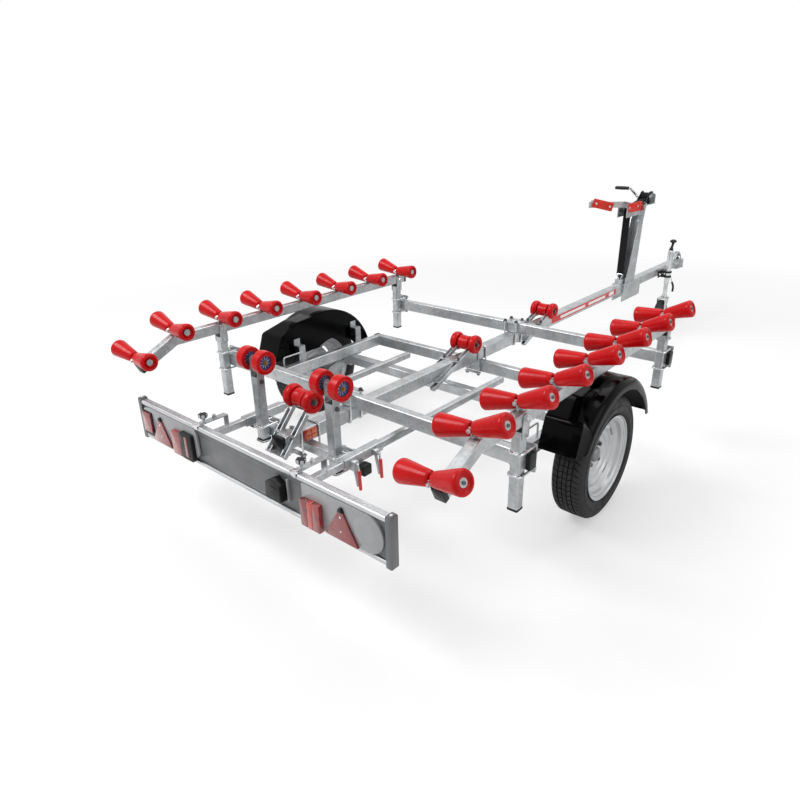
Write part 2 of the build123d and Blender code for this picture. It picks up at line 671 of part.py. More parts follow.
def make_keel_roller(name, y, z, foot_y, foot_z):
    """A roller between the cheeks of its ladder, which stands astride the spine."""
    length = hypot(y - foot_y, z - foot_z)
    slope = degrees(atan2(z - foot_z, y - foot_y))
    place = Pos(0, y, z) * Rot(slope, 0, 0)
    web_end = -DRUM_R - 6
    pieces = []
    for side in (1, -1):
        inner = sorted((side * CHEEK_X, side * (CHEEK_X + CHEEK)))
        outer = sorted((side * (LADDER_OUT - CHEEK), side * LADDER_OUT))
        web = sorted((side * CHEEK_X, side * LADDER_OUT))
        channel = [
            block(web, (-length, web_end), (-LADDER_DEPTH, CHEEK - LADDER_DEPTH)),
            block(inner, (-length, 0), (-LADDER_DEPTH, 0)),
            block(outer, (-length, web_end), (-LADDER_DEPTH, 0)),
            rod("x", *inner, (0, 0), 16),
        ]
        ladder_side = joined(*channel)
        for step in range(3):
            slot_y = web_end - 30 - step * (length + web_end - 40) / 3
            slot_x = sorted((side * (CHEEK_X + CHEEK + SLOT_EDGE), side * (LADDER_OUT - CHEEK - SLOT_EDGE)))
            ladder_side -= block(slot_x, (slot_y - SLOT_LENGTH, slot_y), (-LADDER_DEPTH - 1, CHEEK - LADDER_DEPTH + 1))
        pieces.append(ladder_side)
    pin = rod("x", -KEEL_HALF + 8, KEEL_HALF - 8, (0, 0), KEEL_PIN_R)
    ladder = place * joined(*pieces, pin)

    run = (y - foot_y) / (z - foot_z)
    top_y = foot_y + (SPINE_TOP - foot_z) * run
    low_y = foot_y + (SPINE_BOTTOM - foot_z) * run
    top_plate = block((-LADDER_OUT, LADDER_OUT), (top_y - 10, top_y + 26), (SPINE_TOP, SPINE_TOP + CHEEK))
    low_plate = block((-LADDER_OUT, LADDER_OUT), (low_y - 4, low_y + 32), (SPINE_BOTTOM - CHEEK, SPINE_BOTTOM))
    add("keel_ladder_" + name, joined(ladder, top_plate, low_plate))

    grip = CHEEK_X + CHEEK + SIDE_GAP
    middle = CHEEK_X - SIDE_GAP
    bore = KEEL_PIN_R + PIN_GAP
    sections = [         # outline of half the roller: x and outer radius
        [(0, WAIST_R - 2), (middle, WAIST_R)],
        [(grip, WAIST_R + 3), (grip + 14, DRUM_R), (KEEL_HALF - 6, DRUM_R), (KEEL_HALF, DRUM_R - 6)],
    ]
    for outline in sections:
        start, stop = outline[0][0], outline[-1][0]
        half = turned_x([(start, bore)] + outline + [(stop, bore)], 0)
        if start > 0:
            half -= rod("x", KEEL_HALF - 14, KEEL_HALF + 1, (0, 0), 20)
        for piece in ([half + mirror(half, Plane.YZ)] if start == 0 else [half, mirror(half, Plane.YZ)]):
            add("keel_roller_" + name, Pos(0, y, z) * piece)


def make_twin_wheels(side, name):
    x = side * TWIN_X
    y = LOWER_CROSS_Y - LOWER_CROSS / 2 - POST / 2
    post = bar("z", TWIN_POST_BOTTOM, TWIN_POST_TOP, (x, y), (POST, POST), WALL)
    add("tube_caps", bar("z", TWIN_POST_BOTTOM - CAP, TWIN_POST_BOTTOM, (x, y), (POST, POST)))
    add("post_clamps", Pos(x, LOWER_CROSS_Y - LOWER_CROSS / 2, LOWER_CROSS_Z)
        * u_clamp(POST, LOWER_CROSS, LOWER_CROSS))
    plate_in = POST / 2
    cheeks = [rod("x", -TWIN_APART / 2 - TWIN_W / 2 + 6, TWIN_APART / 2 + TWIN_W / 2 - 6, (0, TWIN_Z), TWIN_PIN_R)]
    for face in (-plate_in - CHEEK, plate_in):
        cheeks.append(block((face, face + CHEEK), (-15, 15), (TWIN_POST_TOP - 40, TWIN_Z)))
        cheeks.append(rod("x", face, face + CHEEK, (0, TWIN_Z), 15))
    add("twin_posts", post + Pos(x, y, 0) * joined(*cheeks))
    for way in (-1, 1):
        wheel = Rot(0, 90, 0) * Cylinder(TWIN_R, TWIN_W)
        wheel = fillet(wheel.edges().filter_by(GeomType.CIRCLE), 8)
        wheel -= rod("x", -TWIN_W, TWIN_W, (0, 0), TWIN_PIN_R + PIN_GAP)
        for end in (-TWIN_W / 2, TWIN_W / 2):
            wheel -= rod("x", end - 6, end + 6, (0, 0), 28)
        add("twin_wheels_" + name, Pos(x + way * TWIN_APART / 2, y, TWIN_Z) * wheel)


def make_light_board():
    sleeve_front = SLEEVE_REAR + SLEEVE_LENGTH
    inner = ARM_SIDE + 2 * SLEEVE_PLAY
    for side in (1, -1):
        x = side * LIGHT_ARM_X
        sleeve = bar("y", SLEEVE_REAR, sleeve_front, (x, LIGHT_ARM_Z), (SLEEVE_SIDE, SLEEVE_SIDE))
        sleeve -= bar("y", SLEEVE_REAR - 1, sleeve_front + 1, (x, LIGHT_ARM_Z), (inner, inner))
        if side > 0:
            for lever_y in (SLEEVE_REAR + LEVER_IN, sleeve_front - LEVER_IN - 15):
                face = x + SLEEVE_SIDE / 2
                sleeve += block((face, face + LEVER_BOSS), (lever_y - 12, lever_y + 12),
                                (LIGHT_ARM_Z - 10, LIGHT_ARM_Z + 10))
                sleeve += (Pos(face + 16, lever_y, LIGHT_ARM_Z - SLEEVE_LEVER / 2 - 1) * Rot(0, -12, 0)
                           * Cylinder(6, SLEEVE_LEVER))
        add("light_sleeves", sleeve)
        arm = bar("y", BOARD_REAR + PANEL_SET_IN + BOARD_PANEL, LIGHT_ARM_FRONT, (x, LIGHT_ARM_Z),
                  (ARM_SIDE, ARM_SIDE), WALL)
        half = ARM_SIDE / 2
        bracket = block((x - half, x + half), (BOARD_REAR + 4, BOARD_BRACKET_FRONT), (BOARD_TOP, BOARD_TOP + 4))
        bracket += block((x - half, x + half), (BOARD_BRACKET_FRONT - 4, BOARD_BRACKET_FRONT),
                         (LIGHT_ARM_Z + half, BOARD_TOP))
        knob = (x, BOARD_REAR + KNOB_AHEAD)
        bracket += rod("z", BOARD_TOP + 4, BOARD_TOP + KNOB_UP + 2, knob, 6)
        bracket += rod("z", BOARD_TOP + KNOB_UP, BOARD_TOP + KNOB_UP + 14, knob, KNOB_R)
        add("light_arms", arm + bracket)

    front = BOARD_REAR + BOARD_DEPTH
    for low, high in ((BOARD_BOTTOM, BOARD_BOTTOM + EDGE_RAIL), (BOARD_TOP - EDGE_RAIL, BOARD_TOP)):
        add("light_board_rails", block((-BOARD_HALF, BOARD_HALF), (BOARD_REAR, front), (low, high)))
    for side in (1, -1):
        ends = sorted((side * BOARD_HALF, side * (BOARD_HALF + END_POST_W)))
        add("light_board_ends", block(ends, (BOARD_REAR - 2, front + 2),
                                      (BOARD_BOTTOM - END_POST_OVER, BOARD_TOP + 2 * END_POST_OVER)))
    panel_y = BOARD_REAR + PANEL_SET_IN
    add("light_board_panel", block((-BOARD_HALF, BOARD_HALF), (panel_y, panel_y + BOARD_PANEL),
                                   (BOARD_BOTTOM + EDGE_RAIL, BOARD_TOP - EDGE_RAIL)))
    for x_from, x_to, side in CARRIERS:
        carrier = block((x_from, x_to), (BOARD_REAR - CARRIER_OUT, BOARD_REAR + PANEL_SET_IN),
                        (BOARD_BOTTOM + EDGE_RAIL, BOARD_TOP - EDGE_RAIL))
        upright = carrier.edges().filter_by(Axis.Y).sort_by(Axis.X)
        carrier = fillet(upright[2:] if side > 0 else upright[:2], CARRIER_ROUND)
        add("light_board_ends", carrier)
    for x_from, x_to, z_from, z_to, out in LAMPS:
        on_carrier = any(low <= x_from and x_to <= high for low, high, _ in CARRIERS)
        seat = BOARD_REAR - CARRIER_OUT if on_carrier else BOARD_REAR + PANEL_SET_IN
        low, high = max(z_from, BOARD_BOTTOM + EDGE_RAIL), min(z_to, BOARD_TOP - EDGE_RAIL)
        add("light_board_lamps", block((x_from, x_to), (BOARD_REAR - out, seat), (low, high)))
    for x in TRIANGLES_X:
        low, high = BOARD_BOTTOM + EDGE_RAIL, TRIANGLE_Z[1]
        outline = Polygon((x - TRIANGLE_HALF, low), (x + TRIANGLE_HALF, low), (x, high), align=None)
        prism = extrude(Plane.XZ * outline, TRIANGLE_THICK, dir=(0, -1, 0))
        add("light_board_lamps", Pos(0, BOARD_REAR - CARRIER_OUT, 0) * prism)


def make_guard(side, name):
    def shell(inset, rear_foot, front_foot):
        """The closed form of the guard, drawn in by an inset on every side and cut off level at its feet."""
        band = rod("x", GUARD_IN + inset, GUARD_OUT - inset, (BAND_Y, BAND_Z), BAND_R - inset)
        rim = band.edges().filter_by(GeomType.CIRCLE).sort_by(Axis.X)[-1]
        band = fillet([rim], GUARD_ROUND - inset)
        corner = [(y + inset * (y < 0), z - inset * (z > GUARD_REAR[0][1])) for y, z in GUARD_REAR]
        corner[0], corner[-1] = (corner[0][0], rear_foot), (corner[-1][0], rear_foot)
        whole = band + side_plate(corner, GUARD_IN + inset, FACET_OUT - inset)
        whole -= block((GUARD_IN - 1, GUARD_OUT + 1), (BAND_Y - 2 * BAND_R, BAND_Y), (-BAND_R, rear_foot))
        return whole - block((GUARD_IN - 1, GUARD_OUT + 1), (BAND_Y, BAND_Y + 2 * BAND_R), (-BAND_R, front_foot))

    below = GUARD_FOOT_FRONT - 2 * GUARD_WALL
    guard = shell(0, GUARD_FOOT_REAR, GUARD_FOOT_FRONT) - shell(GUARD_WALL, below, below)
    guard -= rod("x", GUARD_OUT - GUARD_ROUND - 2, GUARD_OUT + 1, (BAND_Y, BAND_Z), BAND_OPENING_R)
    guard -= rod("x", GUARD_IN - 1, GUARD_IN + GUARD_WALL + 1, (AXLE_AHEAD / 2, TYRE_R - AXLE_OPENING_DROP), AXLE_OPENING_R)
    if side < 0:
        guard = mirror(guard, Plane.YZ)
    add("mudguard_" + name, guard)

    for y in STAY_Y:
        rail_face = RAIL_X + CROSS_W / 2
        along = (y - STAY_W / 2, y + STAY_W / 2)
        under = STAY_SHELF - STAY_SHEET
        stay = joined(
            block((rail_face, rail_face + STAY_SHEET), along, (SPINE_BOTTOM - STAY_DROP, STAY_SHELF)),
            block((rail_face, GUARD_IN), along, (under, STAY_SHELF)),
            block((GUARD_IN - STAY_SHEET, GUARD_IN), along, (under, STAY_TOP)),
        )
        add("guard_stays", stay if side > 0 else mirror(stay, Plane.YZ))


def make_winch():
    post = side_plate(WINCH_POST, -WINCH_POST_HALF, WINCH_POST_HALF)
    rear_foot, front_foot = WINCH_POST[0][0], WINCH_POST[1][0]
    inner = [
        (rear_foot - 20, WINCH_POST[0][1] - 1),
        (front_foot - WINCH_SHEET, WINCH_POST[0][1] - 1),
        (WINCH_POST[2][0] - WINCH_SHEET, WINCH_POST[2][1]),
        (WINCH_POST[3][0] - WINCH_SHEET, WINCH_POST[3][1] - WINCH_SHEET),
        (WINCH_POST[4][0] - 20, WINCH_POST[4][1] - WINCH_SHEET),
    ]
    post -= side_plate(inner, -WINCH_POST_HALF + WINCH_SHEET, WINCH_POST_HALF - WINCH_SHEET)
    add("winch_post", post)

    base_top = WINCH_POST[0][1]
    base = [block((-WINCH_POST_HALF - WINCH_SHEET, WINCH_POST_HALF + WINCH_SHEET), WINCH_BASE,
                  (SPINE_TOP, base_top))]
    for side in (1, -1):
        xs = sorted((side * SPINE / 2, side * (WINCH_POST_HALF + WINCH_SHEET)))
        base.append(block(xs, (WINCH_BASE[0] + WINCH_SIDE_REAR, WINCH_BASE[1]), (WINCH_SIDE_DROP, SPINE_TOP)))
    eye_rear = WINCH_BASE[0] + EYE_AHEAD
    base.append(block((-EYE_HALF, EYE_HALF), (eye_rear, eye_rear + EYE_LENGTH), (base_top, base_top + EYE_H)))
    add("winch_base", joined(*base))

    top = WINCH_POST[3][1]
    frame = [block((-WINCH_HALF, WINCH_HALF), (WINCH_Y - WINCH_SEAT_REAR, WINCH_Y + WINCH_SEAT_FRONT),
                   (top, top + WINCH_SHEET))]
    for side in (1, -1):
        xs = sorted((side * (WINCH_HALF - WINCH_SHEET), side * WINCH_HALF))
        frame.append(side_plate([(WINCH_Y + y, top + z) for y, z in WINCH_EAR], *xs))
    axis = (WINCH_Y, WINCH_AXIS_Z)
    pin_half = WINCH_HALF + PIN_END
    frame = joined(*frame) - rod("x", -2 * WINCH_HALF, 2 * WINCH_HALF, axis, WINCH_PIN_R + TOUCH)
    add("winch_frame", frame)
    flange = WINCH_HALF - WINCH_SHEET - DRUM_SIDE_GAP
    drum = [rod("x", -pin_half, pin_half, axis, WINCH_PIN_R)]
    for low, high, radius in (
        (-flange, -flange + DRUM_FLANGE, DRUM_FLANGE_R),
        (flange - DRUM_FLANGE, flange, DRUM_FLANGE_R),
        (-flange + DRUM_FLANGE - 1, flange - DRUM_FLANGE + 1, DRUM_STRAP_R),
    ):
        drum.append(rod("x", low, high, axis, radius))
    add("winch_drum", joined(*drum))

    arm_x = -pin_half - CRANK_ARM_OUT
    crank = joined(
        rod("x", -pin_half - CRANK_BOSS, -pin_half, axis, CRANK_R),
        Pos(arm_x, *axis) * Rot(-CRANK_RISE, 0, 0)
        * block((-CRANK_ARM / 2, CRANK_ARM / 2), (-CRANK_LENGTH, 0), (-CRANK_ARM_W / 2, CRANK_ARM_W / 2)),
    )
    tip_y = WINCH_Y - CRANK_LENGTH * cos(radians(CRANK_RISE)) + 8
    tip_z = WINCH_AXIS_Z + CRANK_LENGTH * sin(radians(CRANK_RISE))
    crank += rod("x", arm_x - CRANK_ARM / 2 - CRANK_GRIP, arm_x, (tip_y, tip_z), CRANK_R)
    add("winch_crank", crank)

    strap_path = FilletPolyline(
        (0, STRAP_Y, STRAP_BOTTOM),
        (0, STRAP_Y, BOW_ARM_Z + STRAP_TURN),
        (0, WINCH_Y - DRUM_STRAP_R - 1, WINCH_AXIS_Z - 8),
        radius=STRAP_BEND_R,
    )
    flat = Plane(origin=strap_path @ 0, x_dir=(1, 0, 0), z_dir=strap_path % 0)
    add("winch_strap", sweep(flat * Rectangle(STRAP_W, STRAP_THICK), strap_path))
    hook_path = FilletPolyline((-16, 0, 40), (0, 0, 0), (16, 0, 40), radius=9)
    hook = sweep(Plane(origin=hook_path @ 0, z_dir=hook_path % 0) * Circle(4), hook_path)
    hook += rod("x", -STRAP_W / 2, STRAP_W / 2, (0, 40), 4)
    add("winch_hook", Pos(0, STRAP_Y, STRAP_BOTTOM - 40 - 4 - TOUCH) * hook)

    cheek_in = STRAP_W / 2 + 4
    cheek_out = cheek_in + WINCH_SHEET
    pad_meet = BOW_PAD_Y + BOW_PAD_LENGTH / 2 * sin(radians(BOW_YAW))
    pin_y = STRAP_Y + STRAP_BEND_R
    bracket = [
        block((-cheek_out, cheek_out), (STRAP_Y + BOW_ARM_REAR, BOW_ARM_FRONT), (BOW_ARM_Z, BOW_ARM_Z + WINCH_SHEET)),
        rod("x", -cheek_out, cheek_out, (pin_y, BOW_ARM_Z + BOW_PIN_UP), STRAP_BEND_R - STRAP_THICK / 2 - TOUCH),
    ]
    for side in (1, -1):
        xs = sorted((side * cheek_in, side * cheek_out))
        bracket.append(side_plate([
            (pad_meet + 8, BOW_ARM_Z),
            (BOW_ARM_FRONT, BOW_ARM_Z),
            (BOW_ARM_FRONT, BOW_ARM_Z + 24),
            (pin_y + 30, BOW_ARM_Z + 56),
            (pad_meet + 8, BOW_PAD_Z + 20),
        ], *xs))
        arm = block((-BOW_PAD_X / cos(radians(BOW_YAW)) - 11, BOW_PAD_LENGTH / 2 - 20),
                    (BOW_PAD_THICK / 2, BOW_PAD_THICK / 2 + WINCH_SHEET), (-20, 20))
        bracket.append(Pos(side * BOW_PAD_X, BOW_PAD_Y, BOW_PAD_Z) * Rot(0, 0, -side * BOW_YAW)
                       * (arm if side > 0 else mirror(arm, Plane.YZ)))
    add("bow_stop_bracket", joined(*bracket) - side_plate(WINCH_POST, -WINCH_POST_HALF, WINCH_POST_HALF))
    for side in (1, -1):
        pad = fillet(Box(BOW_PAD_LENGTH, BOW_PAD_THICK, BOW_PAD_H).edges().filter_by(Axis.Y), 6)
        for x in (-BOW_PAD_LENGTH / 2 + PAD_HOLE_IN, BOW_PAD_LENGTH / 2 - PAD_HOLE_IN):
            pad -= rod("y", -BOW_PAD_THICK, BOW_PAD_THICK, (x, 0), PAD_HOLE_R)
        add("bow_stop_pads", Pos(side * BOW_PAD_X, BOW_PAD_Y, BOW_PAD_Z) * Rot(0, 0, -side * BOW_YAW) * pad)


def make_coupling():
    neck = block((-SPINE / 2, SPINE / 2), (SPINE_FRONT, HEAD_Y), (SPINE_BOTTOM + 8, SPINE_TOP - 4))
    head = rod("z", HEAD_Z - HEAD_H / 2, HEAD_Z + HEAD_H / 2, (0, HEAD_Y), HEAD_R)
    whole = neck + head
    whole -= rod("z", HEAD_Z - HEAD_H / 2 - 1, HEAD_Z + 8, (0, HEAD_Y), BALL_R)
    add("coupling_head", whole)
    path = FilletPolyline(*[(0, HEAD_Y + y, HEAD_Z + z) for y, z in HANDLE], radius=HANDLE_BEND_R)
    handle = sweep(Plane(origin=path @ 0, z_dir=path % 0) * Rectangle(HANDLE_W, HANDLE_THICK), path)
    root_y, root_z = HANDLE[0]
    handle += block((-HANDLE_THICK, HANDLE_THICK), (HEAD_Y + root_y - 14, HEAD_Y + root_y + 14),
                    (HEAD_Z + HEAD_H / 2, HEAD_Z + root_z + HANDLE_THICK / 2))
    add("coupling_handle", handle)


def make_jockey():
    y, x = JOCKEY_Y, JOCKEY_X
    outer = rod("z", JOCKEY_TUBE_BOTTOM, JOCKEY_TOP, (x, y), JOCKEY_OUTER_R)
    outer -= rod("z", JOCKEY_TUBE_BOTTOM - 1, JOCKEY_TOP - 8, (x, y), JOCKEY_INNER_R + TOUCH)
    outer += rod("z", JOCKEY_TOP, JOCKEY_TOP + 22, (x, y), 14)
    outer += Pos(x, y, JOCKEY_TOP + 16) * Rot(28, 0, 0) * block((-6, 6), (0, 24), (-6, 62))
    outer += rod("z", JOCKEY_KNOB_TOP - 22, JOCKEY_KNOB_TOP, (x, y - 8), JOCKEY_KNOB_R)
    add("jockey_tube", outer)

    clamp = []
    for z in (JOCKEY_CLAMP_Z - CLAMP_LOW, JOCKEY_CLAMP_Z + CLAMP_UP):
        ring = rod("z", z, z + CLAMP_RING, (x, y), JOCKEY_OUTER_R + CLAMP_WALL)
        ring -= rod("z", z - 1, z + CLAMP_RING + 1, (x, y), JOCKEY_OUTER_R + TOUCH)
        clamp.append(ring)
    face = SPINE / 2
    high = (JOCKEY_CLAMP_Z - CLAMP_LOW, JOCKEY_CLAMP_Z + CLAMP_UP + CLAMP_RING)
    clamp.append(block((face, face + CLAMP_PLATE), (y - CLAMP_PLATE_HALF, y + CLAMP_PLATE_HALF), high))
    clamp.append(block((face, x - JOCKEY_OUTER_R - 2), (y - JOCKEY_OUTER_R - 4, y + JOCKEY_OUTER_R + 4), high))
    lever = Pos(x, y + JOCKEY_OUTER_R + 4, JOCKEY_CLAMP_Z + 4) * Rot(-LEVER_DROP, 0, 0)
    clamp.append(lever * rod("y", 0, LEVER_LENGTH, (0, 0), LEVER_R))
    clamp.append(lever * rod("y", LEVER_LENGTH - LEVER_GRIP, LEVER_LENGTH, (0, 0), LEVER_GRIP_R))
    add("jockey_clamp", joined(*clamp))

    axle_z = JOCKEY_WHEEL_R
    crown = 2 * JOCKEY_WHEEL_R + CROWN_GAP
    leg = rod("z", crown + CROWN + TOUCH, JOCKEY_TOP - JOCKEY_HIDDEN, (x, y), JOCKEY_INNER_R)
    leg += rod("z", crown + CROWN + TOUCH, crown + CROWN + 10, (x, y), JOCKEY_OUTER_R)
    add("jockey_leg", leg)
    fork = [block((x - FORK_HALF, x + FORK_HALF), (y - JOCKEY_TRAIL - 24, y + 24), (crown, crown + CROWN))]
    for side in (1, -1):
        xs = sorted((x + side * FORK_HALF, x + side * (FORK_HALF - 4)))
        fork.append(side_plate([
            (y - JOCKEY_TRAIL - 16, axle_z),
            (y - JOCKEY_TRAIL + 16, axle_z),
            (y + 20, crown),
            (y - JOCKEY_TRAIL - 20, crown),
        ], *xs))
        fork.append(rod("x", *xs, (y - JOCKEY_TRAIL, axle_z), 16))
    fork.append(rod("x", x - FORK_HALF - 6, x + FORK_HALF + 6, (y - JOCKEY_TRAIL, axle_z), JOCKEY_PIN_R))
    add("jockey_fork", joined(*fork))
    wheel = Rot(0, 90, 0) * Cylinder(JOCKEY_WHEEL_R, JOCKEY_WHEEL_W)
    wheel = fillet(wheel.edges().filter_by(GeomType.CIRCLE), 14)
    wheel -= rod("x", -JOCKEY_WHEEL_W, JOCKEY_WHEEL_W, (0, 0), JOCKEY_PIN_R + PIN_GAP)
    add("jockey_wheel", Pos(x, y - JOCKEY_TRAIL, axle_z) * wheel)


def make_small_parts():
    reflector = block((SPINE / 2, SPINE / 2 + 12), (LOWER_CROSS_Y - REFLECTOR_HALF, LOWER_CROSS_Y + REFLECTOR_HALF),
                      (SPINE_BOTTOM + 12, SPINE_TOP - 4))
    add("side_reflector", reflector)
    top = SPINE_BOTTOM + LOOP_H
    rear, front = LOOP_Y
    path = FilletPolyline((0, rear, SPINE_BOTTOM), (0, rear, top), (0, front, top), (0, front, SPINE_BOTTOM),
                          radius=3 * LOOP_R)
    loop = sweep(Plane(origin=path @ 0, z_dir=path % 0) * Circle(LOOP_R), path)
    add("tie_down_loops", *[Pos(side * (RAIL_X - LOOP_IN), 0, 0) * loop for side in (1, -1)])


make_frame()
make_axle()
for side, name in ((1, "right"), (-1, "left")):
    make_wheel(side, name)
    make_side_beam(side, name)
    make_guard(side, name)
    make_twin_wheels(side, name)
for side, tilt, v_angle in ROLLER_SIDES:
    make_side_rollers(side, "right" if side > 0 else "left", tilt, v_angle)
make_posts()
for row in KEEL_ROLLERS:
    make_keel_roller(*row)
make_light_board()
make_winch()
make_coupling()
make_jockey()
make_small_parts()

os.makedirs("parts", exist_ok=True)
for name, solids in PARTS.items():
    bodies = [solid for piece in solids for solid in piece.solids()]
    whole = bodies[0] if len(bodies) == 1 else Compound(children=bodies)
    export_step(Pos(0, AXLE_Y, 0) * whole, f"parts/{name}.step")
print(len(PARTS), "parts, axle at y =", AXLE_Y)
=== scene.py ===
# %% [markdown]
# # A roller boat trailer
# The steel frame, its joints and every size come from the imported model, which this script loads and never
# changes. What follows gives each piece the surface and the small forms that it has on the road: tyre tread,
# pressed wheel discs, moulded mudguards, turned red rollers, lamp lenses and bolts.

# %% Load the frame
import json
import math

import bmesh
import bpy
from mathutils import Matrix, Vector


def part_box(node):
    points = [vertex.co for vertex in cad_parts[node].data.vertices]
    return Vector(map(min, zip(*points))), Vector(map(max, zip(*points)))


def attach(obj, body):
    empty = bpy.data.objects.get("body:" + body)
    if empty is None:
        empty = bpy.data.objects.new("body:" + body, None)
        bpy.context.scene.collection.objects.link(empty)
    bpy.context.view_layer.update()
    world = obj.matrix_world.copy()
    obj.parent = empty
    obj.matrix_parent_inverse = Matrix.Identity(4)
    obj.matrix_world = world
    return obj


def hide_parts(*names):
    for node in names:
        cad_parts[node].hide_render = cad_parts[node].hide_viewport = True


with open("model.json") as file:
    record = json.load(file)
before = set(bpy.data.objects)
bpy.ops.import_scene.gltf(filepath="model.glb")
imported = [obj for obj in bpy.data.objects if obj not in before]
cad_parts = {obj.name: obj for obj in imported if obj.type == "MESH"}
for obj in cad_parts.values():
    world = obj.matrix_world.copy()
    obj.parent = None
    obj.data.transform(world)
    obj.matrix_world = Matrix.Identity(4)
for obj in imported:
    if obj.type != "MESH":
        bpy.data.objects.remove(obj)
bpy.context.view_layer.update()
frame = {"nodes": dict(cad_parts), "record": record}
nodes = frame["nodes"]
MM = 0.001

# %% [markdown]
# Places along the trailer are counted in millimetres from the wheels' axis, as a trailer maker does. The axis
# is read from the tyre, so a longer drawbar moves nothing here by accident.

# %% Where things are
def middle(node):
    """The middle of a node's box, in metres."""
    low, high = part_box(node)
    return (low + high) / 2


def limits(node):
    """A node's box as three (low, high) pairs, in millimetres counted from the wheels' axis."""
    low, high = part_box(node)
    shift = Vector((0, AXLE_Y, 0))
    return [tuple(pair) for pair in zip((low - shift) / MM, (high - shift) / MM)]


AXLE_Y = middle("tyre_right").y
WHEEL_X = middle("tyre_right").x / MM
WHEEL_Z = middle("tyre_right").z / MM
print("wheels' axis at y =", round(AXLE_Y, 4), "and z =", round(WHEEL_Z, 1))


def at(x, y, z, *turns):
    """A place in millimetres from the wheels' axis, with turns given as (degrees, axis)."""
    place = Matrix.Translation((x * MM, AXLE_Y + y * MM, z * MM))
    for degrees, axis in turns:
        place = place @ Matrix.Rotation(math.radians(degrees), 4, axis)
    return place


def spot(x, y, z):
    """A point in millimetres from the wheels' axis."""
    return Vector((x * MM, AXLE_Y + y * MM, z * MM))


# %% [markdown]
# ## Shapes from operators
# Nearly everything here was turned, cut from plate, bent from bar or moulded with soft corners. A helper for
# each spins an outline, extrudes one, sweeps a bar or bevels a block. Each takes millimetres and returns a
# bmesh in metres, and `join` sets it in place inside a larger mesh. The same work could be done with
# modifiers, but a bmesh keeps each piece a plain closed mesh.

# %% Turned shapes
UPRIGHT = (-90, "Y")     # turns what lies along x to stand along z
REARWARD = (-90, "Z")    # turns it to point to the rear


def rounded(bm, corners):
    """Rounds wire or face corners. corners pairs each vertex with its rounding in mm."""
    for point, rounding in corners:
        if rounding:
            bmesh.ops.bevel(bm, geom=[point], offset=rounding * MM, offset_type="OFFSET", affect="VERTICES",
                            segments=4, profile=0.5, material=-1)


def turned(rows, steps=48):
    """A solid turned about x from rows of along, radius and corner rounding. Rows that start and end
    on the axis make a full solid, and other rows a ring."""
    bm = bmesh.new()
    points = [bm.verts.new((row[0] * MM, 0, row[1] * MM)) for row in rows]
    for pair in zip(points, points[1:]):
        bm.edges.new(pair)
    if rows[0][1] > 0:
        bm.edges.new((points[-1], points[0]))
    rounded(bm, [(point, row[2]) for point, row in zip(points, rows) if len(row) > 2])
    bmesh.ops.spin(bm, geom=bm.verts[:] + bm.edges[:], cent=(0, 0, 0), axis=(1, 0, 0), dvec=(0, 0, 0),
                   angle=math.tau, steps=steps, use_merge=True)
    bmesh.ops.remove_doubles(bm, verts=bm.verts, dist=1e-6)
    bmesh.ops.recalc_face_normals(bm, faces=bm.faces)
    return bm


# %% Plates and blocks
def soften(bm, width, segments=2, angle=30):
    """Bevels the edges that turn by more than an angle."""
    sharp = [edge for edge in bm.edges
             if len(edge.link_faces) == 2 and edge.calc_face_angle() > math.radians(angle)]
    bmesh.ops.bevel(bm, geom=sharp, offset=width * MM, offset_type="OFFSET", affect="EDGES",
                    segments=segments, profile=0.5, material=-1, clamp_overlap=True)


def corners(x, y, rounding):
    """The four corners of a rectangle from its limits."""
    return [(x[0], y[0], rounding), (x[1], y[0], rounding), (x[1], y[1], rounding), (x[0], y[1], rounding)]


def plate(rows, thick, edge=0):
    """A plate with its outline in x and y, from z = 0 to its thickness. Rows are x, y and corner rounding."""
    bm = bmesh.new()
    points = [bm.verts.new((row[0] * MM, row[1] * MM, 0)) for row in rows]
    bm.faces.new(points)
    rounded(bm, [(point, row[2]) for point, row in zip(points, rows) if len(row) > 2])
    grown = bmesh.ops.extrude_face_region(bm, geom=bm.faces[:])["geom"]
    top = [part for part in grown if isinstance(part, bmesh.types.BMVert)]
    bmesh.ops.translate(bm, vec=(0, 0, thick * MM), verts=top)
    bmesh.ops.recalc_face_normals(bm, faces=bm.faces)
    if edge:
        soften(bm, edge)
    return bm


def block(x, y, z, edge=1.0):
    """A block from its limits in millimetres, already in place, with softened edges."""
    bm = bmesh.new()
    size = [(high - low) * MM for low, high in (x, y, z)]
    centre = [(low + high) / 2 for low, high in (x, y, z)]
    bmesh.ops.create_cube(bm, size=1.0, matrix=at(*centre) @ Matrix.Diagonal((*size, 1)))
    if edge:
        soften(bm, edge)
    return bm


# %% Joining shapes and keeping a piece
def join(bm, shape, place=None):
    """Moves a shape to its place and takes it into a larger mesh."""
    if place is not None:
        bmesh.ops.transform(shape, matrix=place, verts=shape.verts)
    mesh = bpy.data.meshes.new("shape")
    shape.to_mesh(mesh)
    shape.free()
    bm.from_mesh(mesh)
    bpy.data.meshes.remove(mesh)


def keep(bm, name, body, finish, stands_for=(), crease=35):
    """Writes a mesh to an object that rides on a body, with its finish."""
    bmesh.ops.recalc_face_normals(bm, faces=bm.faces)
    mesh = bpy.data.meshes.new(name)
    bm.to_mesh(mesh)
    bm.free()
    mesh.materials.append(finish)
    mesh.polygons.foreach_set("use_smooth", [True] * len(mesh.polygons))
    mesh.set_sharp_from_angle(angle=math.radians(crease))
    piece = bpy.data.objects.new(name, mesh)
    bpy.context.scene.collection.objects.link(piece)
    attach(piece, body)
    if stands_for:
        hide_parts(*stands_for)
    print(f"{name}: {len(mesh.polygons)} faces on {body}")
    return piece


